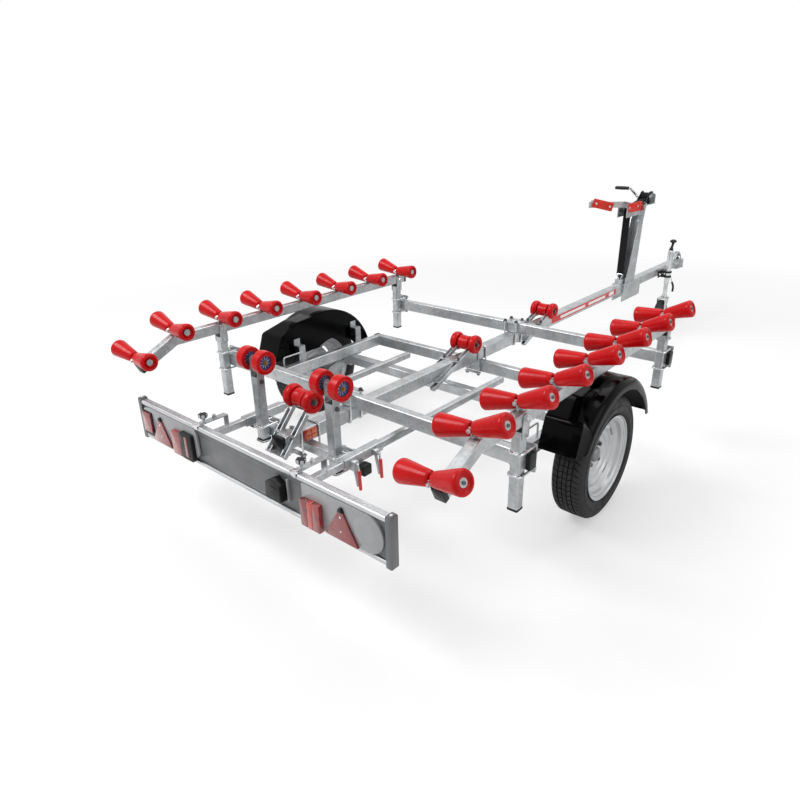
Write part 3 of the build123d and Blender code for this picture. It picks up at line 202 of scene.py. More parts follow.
# %% [markdown]
# Nuts and bent bars turn up all over a bolted trailer. A nut is three short cones on one axis: a washer, a
# hexagon that narrows a little at its top, and the end of its stud. A bent bar is quickest as a curve with a
# round bevel, made a mesh at once, so that nothing on the piece is left to evaluate.

# %% Nuts
def bolt(size, stud=0.7):
    """A hexagon nut of that width on its washer, with the stud's end, pointing along +z from z = 0."""
    bm = bmesh.new()
    washer, height = 0.12 * size, 0.55 * size
    rings = (  # sides, radius as a share of the width, from, to
        (20, 0.72, 0, washer),
        (6, 0.57, washer, washer + height),
        (14, 0.3, washer + height, washer + height + stud * size * 0.4),
    )
    for sides, radius, low, high in rings:
        ring = bmesh.ops.create_cone(bm, cap_ends=True, segments=sides, radius1=radius * size * MM,
                                     radius2=radius * size * MM * (0.94 if sides == 6 else 1),
                                     depth=(high - low) * MM)["verts"]
        bmesh.ops.translate(bm, vec=(0, 0, (low + high) / 2 * MM), verts=ring)
    return bm


# %% Bent bars
def wire(points, radius, rounding, sides=10):
    """A round bar bent through points in metres, with rounded corners. It is a curve, made a mesh."""
    curve = bpy.data.curves.new("wire", "CURVE")
    curve.dimensions = "3D"
    curve.bevel_depth = radius * MM
    curve.bevel_resolution = max(1, sides // 4)
    curve.use_fill_caps = True
    line = curve.splines.new("BEZIER")
    stations = [(points[0], None)]
    for before, corner, after in zip(points, points[1:], points[2:]):
        back = (before - corner).normalized() * rounding * MM
        ahead = (after - corner).normalized() * rounding * MM
        stations += [(corner + back, corner), (corner + ahead, corner)]
    stations.append((points[-1], None))
    line.bezier_points.add(len(stations) - 1)
    line.resolution_u = 6
    for index, (knot, (place, corner)) in enumerate(zip(line.bezier_points, stations)):
        knot.handle_left_type = knot.handle_right_type = "FREE"
        knot.co = knot.handle_left = knot.handle_right = place
        if corner is not None:
            handle = place + (corner - place) * 0.55
            if index % 2:
                knot.handle_right = handle
            else:
                knot.handle_left = handle
    holder = bpy.data.objects.new("wire", curve)
    mesh = bpy.data.meshes.new_from_object(holder)
    bm = bmesh.new()
    bm.from_mesh(mesh)
    bmesh.ops.remove_doubles(bm, verts=bm.verts, dist=1e-6)
    bpy.data.objects.remove(holder)
    bpy.data.curves.remove(curve)
    bpy.data.meshes.remove(mesh)
    return bm


print("shape helpers ready")
# %% [markdown]
# ## Finishes
# Every finish is a shader tree that starts from a real material. Colours are written as the hex codes that a
# painter would read off a chart, and one function turns them to the linear values that a renderer works in.
# Patterns are scaled from a real size: a zinc spangle, a moulding grain, a weave.

# %% Colour and node helpers
def srgb(code):
    """A linear colour from a hex code."""
    parts = [int(code[at_:at_ + 2], 16) / 255 for at_ in (1, 3, 5)]
    return tuple(p / 12.92 if p <= 0.04045 else ((p + 0.055) / 1.055) ** 2.4 for p in parts) + (1.0,)


def per_metre(size_mm):
    """A pattern's scale from the size of one of its marks."""
    return 1 / (size_mm * MM)


def add_node(tree, kind, settings=None, inputs=None):
    """Adds a node, sets its settings, and gives each input a value or a link."""
    node = tree.nodes.new(kind)
    for name, value in (settings or {}).items():
        setattr(node, name, value)
    for name, value in (inputs or {}).items():
        if isinstance(value, bpy.types.NodeSocket):
            tree.links.new(value, node.inputs[name])
        else:
            node.inputs[name].default_value = value
    return node


def finish(name, colour, roughness, **sockets):
    """A material with one Principled shader. Returns it with its tree, its shader and the place
    on the piece."""
    made = bpy.data.materials.new(name)
    made.use_nodes = True
    tree = made.node_tree
    tree.nodes.clear()
    values = {"Base Color": srgb(colour), "Roughness": roughness}
    values.update({key.replace("_", " "): value for key, value in sockets.items()})
    shader = add_node(tree, "ShaderNodeBsdfPrincipled", inputs=values)
    add_node(tree, "ShaderNodeOutputMaterial", inputs={"Surface": shader.outputs["BSDF"]})
    place = add_node(tree, "ShaderNodeTexCoord").outputs["Object"]
    return made, tree, shader, place


def noise(tree, place, size_mm, detail=3):
    return add_node(tree, "ShaderNodeTexNoise", inputs={
        "Vector": place, "Scale": per_metre(size_mm), "Detail": detail}).outputs["Fac"]


def spread(tree, value, low, high, start=0.3, end=0.7):
    """Stretches the middle of a pattern to run from low to high."""
    return add_node(tree, "ShaderNodeMapRange", inputs={
        "Value": value, "From Min": start, "From Max": end, "To Min": low, "To Max": high}).outputs["Result"]


def blend(tree, factor, dark, light):
    return add_node(tree, "ShaderNodeMix", {"data_type": "RGBA"}, {
        "Factor": factor, "A": srgb(dark), "B": srgb(light)}).outputs["Result"]


def relief(tree, shader, height, depth_mm, strength=1.0):
    """Bump of a real depth."""
    bump = add_node(tree, "ShaderNodeBump", inputs={
        "Height": height, "Distance": depth_mm * MM, "Strength": strength})
    tree.links.new(bump.outputs["Normal"], shader.inputs["Normal"])


# %% [markdown]
# Hot-dip galvanising leaves zinc crystals, the spangle, in patches 8 to 15 mm wide that each catch the light
# a little differently. A Voronoi pattern gives each crystal its own shade and gloss, and a slow noise gives
# the cloudy, drained look of a dipped tube.

# %% Galvanised steel
def galvanised(name, dark, light, spangle_mm, rough=(0.3, 0.5), metallic=0.9):
    made, tree, shader, place = finish(name, light, 0.4, Metallic=metallic)
    crystals = add_node(tree, "ShaderNodeTexVoronoi", inputs={"Vector": place, "Scale": per_metre(spangle_mm)})
    shade = add_node(tree, "ShaderNodeSeparateColor", inputs={"Color": crystals.outputs["Color"]})
    cloud = noise(tree, place, 90, 4)
    mixed = add_node(tree, "ShaderNodeMath", {"operation": "MULTIPLY_ADD"}, {
        0: shade.outputs["Red"], 1: 0.38, 2: spread(tree, cloud, 0.0, 0.62)}).outputs["Value"]
    tree.links.new(blend(tree, mixed, dark, light), shader.inputs["Base Color"])
    tree.links.new(spread(tree, shade.outputs["Green"], *rough, 0, 1), shader.inputs["Roughness"])
    relief(tree, shader, noise(tree, place, 14, 2), 0.25)
    return made


zinc = galvanised("galvanised_steel", "#999C9E", "#C6C9CB", 11)
zinc_bright = galvanised("bright_zinc_plate", "#B3B6B8", "#E2E3E4", 5, (0.18, 0.3))
zinc_dark = galvanised("dark_zinc_plate", "#4A4B4D", "#7C7E80", 7, (0.3, 0.45))
cast_zinc = galvanised("galvanised_casting", "#7D8082", "#BEC1C2", 16, (0.42, 0.6))
print("steels:", zinc.name, zinc_bright.name, zinc_dark.name, cast_zinc.name)

# %% [markdown]
# The rollers are cast polyurethane: an even, saturated red with a smooth skin. A low specular level keeps the
# red deep under a white sky, and slow noises in its shade and gloss keep it from looking like paint. The same
# few nodes, with other colours, grain and gloss, give the polyethylene, ABS, vinyl and rubber of the other
# pieces.

# %% Moulded plastics and rubbers
def moulded(name, colour, roughness, grain_mm=3.0, grain_depth=0.02, shade=None, **sockets):
    made, tree, shader, place = finish(name, colour, roughness, **sockets)
    if shade:
        cloud = spread(tree, noise(tree, place, 60), 0, 1)
        tree.links.new(blend(tree, cloud, shade, colour), shader.inputs["Base Color"])
    gloss = noise(tree, place, 40)
    tree.links.new(spread(tree, gloss, roughness * 0.85, roughness * 1.2), shader.inputs["Roughness"])
    relief(tree, shader, noise(tree, place, grain_mm), grain_depth)
    return made


# name, colour, roughness, size and depth of the grain in mm, a second shade
roller_red = moulded("polyurethane_red", "#C81115", 0.24, 30, 0.03, "#B80D11",
                     Specular_IOR_Level=0.16, IOR=1.49)
bow_red = moulded("bow_pad_red", "#CF2E1C", 0.3, 20, 0.02, "#B92417", Specular_IOR_Level=0.35, IOR=1.49)
guard_black = moulded("gloss_polyethylene_black", "#020202", 0.13, 25, 0.12, Specular_IOR_Level=0.07, IOR=1.5)
plain_black = moulded("abs_black", "#0E0E0F", 0.38, 1.2, 0.04, Specular_IOR_Level=0.25, IOR=1.53)
board_grey = moulded("abs_dark_grey", "#68696B", 0.36, 2.0, 0.02, "#5C5D5F", IOR=1.53)
carrier_grey = moulded("abs_pale_grey", "#999A9C", 0.3, 2.0, 0.02, Coat_Weight=0.25, Coat_Roughness=0.15,
                       IOR=1.53)
tyre_black = moulded("tyre_rubber", "#252526", 0.58, 1.5, 0.12, "#1B1B1C", Specular_IOR_Level=0.28, IOR=1.52)
hub_blue = moulded("hub_blue", "#163C7C", 0.35, 3, 0.02, IOR=1.5)
grip_red = moulded("vinyl_red", "#D0201F", 0.35, 3, 0.02, Coat_Weight=0.3, Coat_Roughness=0.2, IOR=1.5)
pale_mark = moulded("reflective_white", "#E9E9E6", 0.4, 2, 0.01, IOR=1.5)
stripe_red = moulded("reflective_red", "#CF1F22", 0.36, 2, 0.01, IOR=1.5)
rim_silver = moulded("wheel_silver", "#C3C5C7", 0.34, 1.0, 0.01, "#BABCBE", Metallic=0.45, Coat_Weight=0.4,
                     Coat_Roughness=0.15)
brass = moulded("brass_plate", "#B08A45", 0.3, 2, 0.02, Metallic=1.0)
cap_grey = moulded("dust_cap_grey", "#7E8082", 0.35, 2, 0.02, Metallic=0.6)
print("plastics and rubbers ready")

# %% [markdown]
# A lamp lens is clear red acrylic over a reflector, moulded inside with small prisms. The prisms are about 4
# mm wide, so they are drawn as a checked relief under a clear coat, and the colour deepens between them.

# %% Lamp lenses
def lens(name, colour, deep, prism_mm=4.0):
    made, tree, shader, place = finish(name, colour, 0.18, Coat_Weight=1.0, Coat_Roughness=0.03, IOR=1.49)
    prisms = add_node(tree, "ShaderNodeTexVoronoi", {"feature": "F1", "distance": "CHEBYCHEV"}, {
        "Vector": place, "Scale": per_metre(prism_mm), "Randomness": 0.0}).outputs["Distance"]
    cloud = spread(tree, noise(tree, place, 35, 1), 0.0, 0.5)
    between_prisms = spread(tree, prisms, 0, 0.6, 0.1, 0.5)
    depth = add_node(tree, "ShaderNodeMath", {"operation": "ADD"}, {
        0: cloud, 1: between_prisms}).outputs["Value"]
    tree.links.new(blend(tree, depth, colour, deep), shader.inputs["Base Color"])
    relief(tree, shader, prisms, 1.2, 0.6)
    return made


lens_red = lens("acrylic_lens_red", "#C2141A", "#5E0509")
lens_amber = lens("acrylic_lens_amber", "#F57A12", "#C04A05")
lens_orange = lens("acrylic_lens_orange", "#E2401C", "#8E1508")
lens_deep = lens("acrylic_reflector_red", "#A0141B", "#6E0A10", 3.0)
print("lenses:", lens_red.name, lens_amber.name, lens_orange.name, lens_deep.name)

# %% [markdown]
# The board's rails are extruded aluminium. The die leaves fine lines along the bar, drawn here as a noise
# that is stretched fifty times along x. The winch strap is a plain weave of polyester, whose threads are
# drawn about ten times as coarse as they are, because finer ones would not show.

# %% Extruded aluminium
DRAWN_OUT = 50           # times that the die's lines are longer than wide


def extruded(name):
    """Mill-finish aluminium with fine drawn lines along x."""
    made, tree, shader, place = finish(name, "#C9CBCD", 0.3, Metallic=0.95)
    lengthways = add_node(tree, "ShaderNodeMapping", inputs={
        "Vector": place, "Scale": (1 / DRAWN_OUT, 1, 1)}).outputs["Vector"]
    lines = noise(tree, lengthways, 1.6, 4)
    tree.links.new(blend(tree, spread(tree, lines, 0, 1), "#A9ABAD", "#D6D8DA"), shader.inputs["Base Color"])
    tree.links.new(spread(tree, lines, 0.26, 0.42), shader.inputs["Roughness"])
    return made


aluminium = extruded("aluminium_extrusion")
print("rails:", aluminium.name)

# %% Webbing
THREAD_MM = 2.2
WAVE_PHASE = 20          # radians that a Wave texture of scale 1 turns through in a metre


def webbing(name):
    """Polyester webbing: two crossed waves make the over and under of a plain weave."""
    made, tree, shader, place = finish(name, "#101011", 0.8, Specular_IOR_Level=0.2)
    waves = [add_node(tree, "ShaderNodeTexWave", {"bands_direction": way}, {
        "Vector": place, "Scale": per_metre(THREAD_MM) / WAVE_PHASE}).outputs["Fac"] for way in "XZ"]
    weave = add_node(tree, "ShaderNodeMath", {"operation": "MULTIPLY"}, {
        0: waves[0], 1: waves[1]}).outputs["Value"]
    tree.links.new(blend(tree, weave, "#09090A", "#19191A"), shader.inputs["Base Color"])
    relief(tree, shader, weave, 0.4)
    return made


web_black = webbing("polyester_webbing")
print("strap:", web_black.name)

# %% [markdown]
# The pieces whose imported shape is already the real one, such as the tubes, posts and brackets, keep it and
# only get their finish. Pieces that are remade below get one too, and it leaves with them when they are
# replaced.

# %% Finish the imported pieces
SLOT_FINISH = {
    "galvanised": zinc, "dark_zinc": zinc_dark, "bright_zinc": zinc_bright, "black_plastic": plain_black,
    "guard_plastic": guard_black, "roller_red": roller_red, "tyre_rubber": tyre_black, "rim_silver": rim_silver,
    "cast_steel": cast_zinc, "strap_web": web_black, "board_aluminium": aluminium, "board_grey": board_grey,
    "lamp_red": lens_red, "amber": lens_amber,
}
for entry in frame["record"]["subparts"]:
    mesh = nodes[entry["node"]].data
    mesh.materials.clear()
    mesh.materials.append(SLOT_FINISH[entry["material_slot"]])
print("finished nodes:", len(nodes))
# %% [markdown]
# ## Tyres
# A road tyre is a smooth casing with a moulded tread. The casing is half an outline, turned and mirrored. The
# tread is five ribs of small blocks with thin slits between them. Cutting 320 slits is slow and fragile, so
# one block of each rib is spun from its section, and `spin` with `use_duplicate` repeats it round the wheel.

# %% Tyre sizes
TYRE_R = WHEEL_Z
TYRE_HALF = (limits("tyre_right")[0][1] - limits("tyre_right")[0][0]) / 2
TREAD_DEPTH = 7.5
GROOVE_R = TYRE_R - TREAD_DEPTH
TREAD_PITCHES = 64
WHEEL_STEPS = 96
SLIT_SHARE = 0.13        # of a pitch
SLANT_REACH = 15         # half the width over which a block takes its whole slant
RIBS = (  # from, to across the tread, slant of the block in degrees round the wheel
    (-51.5, -32, 1.6),
    (-27, -11.5, -1.4),
    (-7.5, 7.5, 1.4),
    (11.5, 27, -1.4),
    (32, 51.5, 1.6),
)
SIDEWALL_BEADS = ((40, 5.6), (66, 1))   # below the tread, and how far each raised line stands out
CASING = (  # across, radius, rounding, for one half of the casing
    (0, GROOVE_R),
    (56, GROOVE_R - 1.5, 3),
    (TYRE_HALF - 6, TYRE_R - 24, 8),
    (TYRE_HALF, TYRE_R - 47, 14),
    (TYRE_HALF - 7, TYRE_R - 70, 9),
    (TYRE_HALF - 17, TYRE_R - 80, 4),
    (TYRE_HALF - 18, TYRE_R - 99.5, 2),
    (0, TYRE_R - 99.5),
)
print("tyre radius", round(TYRE_R, 1), "half width", round(TYRE_HALF, 1))


# %% Casing and tread blocks
def casing():
    half = turned(CASING, steps=WHEEL_STEPS)
    other = half.copy()
    bmesh.ops.transform(other, matrix=Matrix.Scale(-1, 4, (1, 0, 0)), verts=other.verts)
    bmesh.ops.reverse_faces(other, faces=other.faces)
    join(half, other)
    inner = [face for face in half.faces if all(abs(v.co.x) < 1e-6 for v in face.verts)]
    bmesh.ops.delete(half, geom=inner, context="FACES")
    bmesh.ops.remove_doubles(half, verts=half.verts, dist=1e-6)
    return half


def tread_section(low, high):
    """A block's section across the tread: the outer ribs fall away over the shoulder."""
    crown = TYRE_R - 2 * (max(abs(low), abs(high)) / 52) ** 2
    if low > 30:
        return [(low, GROOVE_R - 1), (low, TYRE_R - 0.8), (high - 3, crown), (high + 5, crown - 6),
                (high + 11, crown - 18), (high + 8, crown - 20)]
    if high < -30:
        return [(-x, r) for x, r in tread_section(-high, -low)]
    return [(low, GROOVE_R - 1), (low, crown), (high, crown), (high, GROOVE_R - 1)]


def tread():
    whole = bmesh.new()
    pitch = math.tau / TREAD_PITCHES
    for low, high, slant in RIBS:
        block_bm = bmesh.new()
        section = [block_bm.verts.new((x * MM, 0, r * MM)) for x, r in tread_section(low, high)]
        block_bm.faces.new(section)
        bmesh.ops.spin(block_bm, geom=block_bm.verts[:] + block_bm.edges[:] + block_bm.faces[:], cent=(0, 0, 0),
                       axis=(1, 0, 0), dvec=(0, 0, 0), angle=pitch * (1 - SLIT_SHARE), steps=1)
        centre = (low + high) / 2 * MM
        for point in block_bm.verts:
            share = (point.co.x - centre) / (SLANT_REACH * MM)
            point.co = Matrix.Rotation(math.radians(slant * share), 3, "X") @ point.co
        bmesh.ops.recalc_face_normals(block_bm, faces=block_bm.faces)
        soften(block_bm, 0.7, 1, 40)
        bmesh.ops.spin(block_bm, geom=block_bm.verts[:] + block_bm.edges[:] + block_bm.faces[:], cent=(0, 0, 0),
                       axis=(1, 0, 0), dvec=(0, 0, 0), angle=math.tau, steps=TREAD_PITCHES, use_duplicate=True)
        join(whole, block_bm)
    return whole


# %% Both tyres
SIDES = (("right", 1), ("left", -1))
for side, sign in SIDES:
    tyre = casing()
    join(tyre, tread())
    for below, out in SIDEWALL_BEADS:
        foot, line = TYRE_HALF - 6, TYRE_R - below
        bead = [(foot, line - 1.6, 0.6), (foot + out, line, 0.6), (foot, line + 1.6, 0.6)]
        join(tyre, turned(bead, WHEEL_STEPS))
    bmesh.ops.transform(tyre, matrix=at(sign * WHEEL_X, 0, WHEEL_Z) @ Matrix.Scale(sign, 4, (1, 0, 0)),
                        verts=tyre.verts)
    keep(tyre, f"road_tyre_{side}", f"wheel_{side}", tyre_black, [f"tyre_{side}"], 28)

# %% [markdown]
# ## Pressed steel wheels
# A steel wheel is a rolled rim with a pressed disc welded inside. The disc is dished in rings, which is what
# stiffens thin sheet. Both are turned outlines with rounded corners. The slots near the rim let the brake
# cool, and are real holes: their faces are taken out of the front and back skins and the two loops bridged.

# %% Outlines of rim and disc
RIM_EDGE = 62.5
FLANGE_R = (limits("rim_right")[2][1] - limits("rim_right")[2][0]) / 2
SHEET = 4.5
BARREL = (  # across, radius, rounding: the side that shows, from the outer flange to the inner flange
    (RIM_EDGE, FLANGE_R, 1.5),
    (RIM_EDGE - 7, FLANGE_R - 1.5, 3),
    (RIM_EDGE - 11, FLANGE_R - 19, 4),
    (RIM_EDGE - 30, FLANGE_R - 23, 5),
    (RIM_EDGE - 42, FLANGE_R - 42, 6),
    (-RIM_EDGE + 36, FLANGE_R - 42, 6),
    (-RIM_EDGE + 26, FLANGE_R - 23, 5),
    (-RIM_EDGE + 11, FLANGE_R - 19, 4),
    (-RIM_EDGE + 7, FLANGE_R - 1.5, 3),
    (-RIM_EDGE, FLANGE_R, 1.5),
)
DISC = (  # across, radius, rounding: the front skin of the dished disc
    (14, FLANGE_R - 41, 3),
    (24, FLANGE_R - 52, 6),
    (22, FLANGE_R - 66, 5),
    (11, FLANGE_R - 74, 6),
    (11, FLANGE_R - 90, 5),
    (2, FLANGE_R - 98, 5),
    (0, 64, 4),
    (-5, 60, 4),
    (-5, 40, 4),
    (-2, 33, 1),
)
VENTS = 4
VENT_TURN = 38           # degrees to the first slot
VENT_RADII = (FLANGE_R - 66, FLANGE_R - 53)
VENT_STEPS = 7           # length of a slot in steps of the turned disc
print("rim", round(2 * FLANGE_R), "mm across its flanges")


# %% Skins and slots
def skin(rows):
    """Front rows, then the same rows again one sheet behind, so that the outline closes."""
    behind = [(x - SHEET * 0.6, r - SHEET * 0.8, *rest) for x, r, *rest in reversed(rows)]
    return list(rows) + behind


def cut_vents(disc):
    """Takes four slots out of both skins and bridges their edges."""
    half_slot = math.tau / WHEEL_STEPS * VENT_STEPS / 2
    for number in range(VENTS):
        turn = math.radians(VENT_TURN + 360 / VENTS * number)
        faces = []
        for face in disc.faces:
            centre = face.calc_center_median()
            radius = math.hypot(centre.y, centre.z) / MM
            angle = (math.atan2(centre.z, centre.y) - turn + math.pi) % math.tau - math.pi
            if VENT_RADII[0] < radius < VENT_RADII[1] and abs(angle) < half_slot:
                faces.append(face)
        bmesh.ops.delete(disc, geom=faces, context="FACES")
        loops = [edge for edge in disc.edges if len(edge.link_faces) == 1]
        bmesh.ops.bridge_loops(disc, edges=loops)


# %% Wheels, hubs and wheel bolts
STUDS, STUD_CIRCLE = 4, 50
HUB = [(-60, 0), (-60, 37, 2), (-14, 37, 2), (-14, 32, 2), (6, 32, 3), (14, 30, 5), (19, 14, 5), (20, 0)]
STUD_HEAD = [(-2, 0), (-2, 13, 1), (3, 12, 1), (5, 9, 0.6), (16, 8.6, 1.2), (16, 5, 0), (9, 4.6, 0), (9, 0)]
for side, sign in SIDES:
    wheel = turned(skin(BARREL), steps=WHEEL_STEPS)
    disc = turned(skin(DISC), steps=WHEEL_STEPS)
    cut_vents(disc)
    join(wheel, disc)
    place = at(sign * WHEEL_X, 0, WHEEL_Z) @ Matrix.Scale(sign, 4, (1, 0, 0))
    bmesh.ops.transform(wheel, matrix=place, verts=wheel.verts)
    keep(wheel, f"wheel_disc_{side}", f"wheel_{side}", rim_silver, [f"rim_{side}"], 32)

    hub = turned(HUB, 40)
    bmesh.ops.transform(hub, matrix=place, verts=hub.verts)
    keep(hub, f"wheel_hub_{side}", f"wheel_{side}", cap_grey, (), 32)

    studs = bmesh.new()
    for number in range(STUDS):
        angle = math.radians(45 + 90 * number)
        stud_y, stud_z = math.cos(angle) * STUD_CIRCLE * MM, math.sin(angle) * STUD_CIRCLE * MM
        join(studs, turned(STUD_HEAD, 18), Matrix.Translation((-5 * MM, stud_y, stud_z)))
    bmesh.ops.transform(studs, matrix=place, verts=studs.verts)
    keep(studs, f"wheel_bolts_{side}", f"wheel_{side}", zinc_dark, (), 32)
# %% [markdown]
# ## Mudguards
# Each guard is one moulding in gloss black polyethylene. From the side it is an arc about the wheel, with a
# flat corner at the rear, and its outer edge is rolled over. A spun arc can't have the corner, so the skin is
# built from sections: a ray from the arc's centre at each angle gives one, and the sections in a row make the
# skin. `solidify` gives the skin its thickness, and a flat inner wall with the opening for the axle closes
# the side next to the frame.

# %% Mudguard sizes
(GUARD_IN, GUARD_OUT), (GUARD_REAR_Y, GUARD_FRONT_Y), (GUARD_LOW, GUARD_TOP) = limits("mudguard_right")
GUARD_WALL = 4
SKIN_STEPS, WALL_STEPS, HOLE_STEPS = 84, 64, 30
BAND_Y, BAND_Z = 15, 250
BAND_R = GUARD_TOP - BAND_Z
ROLL_R = 34              # rolled outer edge
EDGE_ON_ARC, EDGE_WIDENS = 896, 28   # outer side of the flat part where the guard is only an arc
REAR_FOOT, FRONT_FOOT = 409, GUARD_LOW + 1
CORNER = ((-344, 409), (-302, 528), (-195, 587), (15, BAND_Z + BAND_R - 6))
CORNER_OUT = ((-345, 930), (-302, 930), (-195, 868), (15, 868))   # y, outer side of the flat corner
AXLE_HOLE = (71, 225, 215)   # y, z, radius
GUARD_ANGLES = (math.atan2(CORNER[0][1] - BAND_Z, CORNER[0][0] - BAND_Y),
                math.asin((FRONT_FOOT - BAND_Z) / BAND_R))
print("guard arc", round(BAND_R, 1), "about", (BAND_Y, BAND_Z))


# %% Where the guard lies at each angle
def corner_radius(angle):
    """Where a ray from the arc's centre meets the flat corner, or the arc's own radius."""
    way = Vector((math.cos(angle), math.sin(angle)))
    for (y1, z1), (y2, z2) in zip(CORNER, CORNER[1:]):
        start, edge = Vector((y1 - BAND_Y, z1 - BAND_Z)), Vector((y2 - y1, z2 - z1))
        cross = way.x * edge.y - way.y * edge.x
        reach = (start.x * edge.y - start.y * edge.x) / cross
        share = (start.x * way.y - start.y * way.x) / cross
        if reach > 0 and -1e-3 <= share <= 1 + 1e-3:
            return max(reach, BAND_R)
    return BAND_R


def between(rows, value):
    """A value read off a table of rows in rising order."""
    for (low, at_low), (high, at_high) in zip(rows, rows[1:]):
        if value <= high:
            share = min(max((value - low) / (high - low), 0), 1)
            return at_low + (at_high - at_low) * share
    return rows[-1][1]


# %% One section of the skin
def guard_section(angle):
    """Points across the guard as x and radius: flat part, its fall to the arc, and the rolled edge."""
    radius = corner_radius(angle)
    edge = between(CORNER_OUT, BAND_Y + radius * math.cos(angle))
    if radius < BAND_R + 0.5:
        edge = min(edge + EDGE_WIDENS, EDGE_ON_ARC)

    def arc(x):
        over = max(0, x - (GUARD_OUT - ROLL_R))
        return BAND_R - ROLL_R + math.sqrt(max(ROLL_R ** 2 - over ** 2, 0))

    points = [(GUARD_IN, radius), ((GUARD_IN + edge) / 2, radius), (edge - 5, radius)]
    fall = min(edge + 5, GUARD_OUT - 4)
    points.append((fall, min(radius, arc(fall) + 1)))
    for step in range(1, 8):
        share = math.sin(step / 7 * math.pi / 2)
        x = fall + (GUARD_OUT - fall) * share
        points.append((x, min(radius, arc(x))))
    points.append((GUARD_OUT, BAND_R - ROLL_R - 14))
    return points


# %% The skin from its sections
CREASE_CLEAR, CREASE_HALF = 0.028, 0.016   # radians: sections kept off a crease, and the two on its sides


def guard_skin():
    rear, front = GUARD_ANGLES
    creases = [math.atan2(z - BAND_Z, y - BAND_Y) for y, z in CORNER[1:3]]
    angles = [front + (rear - front) * step / SKIN_STEPS for step in range(SKIN_STEPS + 1)]
    for crease in creases:
        angles = [angle for angle in angles if abs(angle - crease) > CREASE_CLEAR]
        angles += [crease - CREASE_HALF, crease + CREASE_HALF]
    bm = bmesh.new()
    rows = []
    for angle in sorted(angles):
        foot = REAR_FOOT if angle > math.pi / 2 else FRONT_FOOT
        row = []
        for x, radius in guard_section(angle):
            y, z = BAND_Y + radius * math.cos(angle), BAND_Z + radius * math.sin(angle)
            row.append(bm.verts.new((x * MM, y * MM, max(z, foot) * MM)))
        rows.append(row)
    for before, after in zip(rows, rows[1:]):
        for (a, b), (c, d) in zip(zip(before, before[1:]), zip(after, after[1:])):
            bm.faces.new((a, b, d, c))
    bmesh.ops.remove_doubles(bm, verts=bm.verts, dist=1e-5)
    bmesh.ops.dissolve_degenerate(bm, edges=bm.edges, dist=1e-5)
    bmesh.ops.recalc_face_normals(bm, faces=bm.faces)
    return bm


# %% The wall next to the frame
def inner_wall():
    """The flat wall next to the frame, with its arched opening round the axle."""
    hole_y, hole_z, hole_r = AXLE_HOLE
    rear, front = GUARD_ANGLES
    rows = [(CORNER[0][0] + 1, REAR_FOOT)]
    for step in range(WALL_STEPS):
        angle = rear + (front - rear) * step / (WALL_STEPS - 1)
        radius = corner_radius(angle) - 1.5
        foot = REAR_FOOT if angle > math.pi / 2 else FRONT_FOOT
        rows.append((BAND_Y + radius * math.cos(angle), max(BAND_Z + radius * math.sin(angle), foot)))
    start = math.asin((FRONT_FOOT - hole_z) / hole_r)
    end = math.pi - math.asin((REAR_FOOT - hole_z) / hole_r)
    for step in range(HOLE_STEPS + 1):
        angle = start + (end - start) * step / HOLE_STEPS
        rows.append((hole_y + hole_r * math.cos(angle), hole_z + hole_r * math.sin(angle)))
    clean = [rows[0]]
    for row in rows[1:]:
        if math.dist(row, clean[-1]) > 2:
            clean.append(row)
    return plate(clean, GUARD_WALL)


# %% Both guards
for side, sign in SIDES:
    guard = guard_skin()
    bmesh.ops.solidify(guard, geom=guard.faces[:], thickness=GUARD_WALL * MM)
    soften(guard, 1.5, 2, 32)
    wall = inner_wall()
    turn = Matrix(((0, 0, 1, GUARD_IN * MM), (1, 0, 0, 0), (0, 1, 0, 0), (0, 0, 0, 1)))
    join(guard, wall, turn)
    bmesh.ops.translate(guard, vec=(0, AXLE_Y, 0), verts=guard.verts)
    for low, high, foot in ((GUARD_REAR_Y + 0.3, CORNER[0][0] + 8, REAR_FOOT),
                            (BAND_Y + BAND_R - 25, GUARD_FRONT_Y - 0.3, FRONT_FOOT)):
        join(guard, block((GUARD_IN + 1, GUARD_OUT - 14), (low, high), (foot - 1, foot + 5), 1.8))
    bmesh.ops.transform(guard, matrix=Matrix.Scale(sign, 4, (1, 0, 0)), verts=guard.verts)
    keep(guard, f"moulded_guard_{side}", "trailer", guard_black, [f"mudguard_{side}"], 26)
# %% [markdown]
# ## Side rollers
# A hull rests on sixteen pairs of red cones. Every cone has one outline, so it is turned about x and set down
# thirty-two times by matrices alone. Each pair sits on a lug, and its two axes rise from one point. The tilt
# of a pair and the half-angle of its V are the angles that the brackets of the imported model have.

# %% Side roller sizes
ROLLER_Y = (-1053, -860, -601, -355, -90, 174, 435, 702)
ROLLER_SIDES = (("right", 1, 16.0, 5.5, 6), ("left", -1, 4.5, 8.0, 13))   # side, sign, tilt, half-angle, dish
BEAM_X, BEAM_Z, BEND_Y, BEND_DROP = 838, 652, -860, 25
ROLLER_UP = 51           # of the point where the two axes meet, above the beam's middle
LUG_FACE = 14            # of a lug's sides from its middle
CONE_GAP = 5             # between that point and each cone's small end
CONE_LONG, CONE_BIG, CONE_SMALL = 128, 41, 24


def cone_rows(dish):
    """Rows of a cone from its small end, as along, radius, rounding. The dish is the recess in its big end."""
    return [(0, 12), (0, CONE_SMALL, 9), (CONE_LONG * 0.5, 33.4, 40), (CONE_LONG, CONE_BIG, 13),
            (CONE_LONG, 27, 5), (CONE_LONG - dish, 22, 6), (CONE_LONG - dish - 1, 11, 1),
            (CONE_LONG - dish - 4, 10, 0.5), (CONE_LONG - dish - 4, 0)]


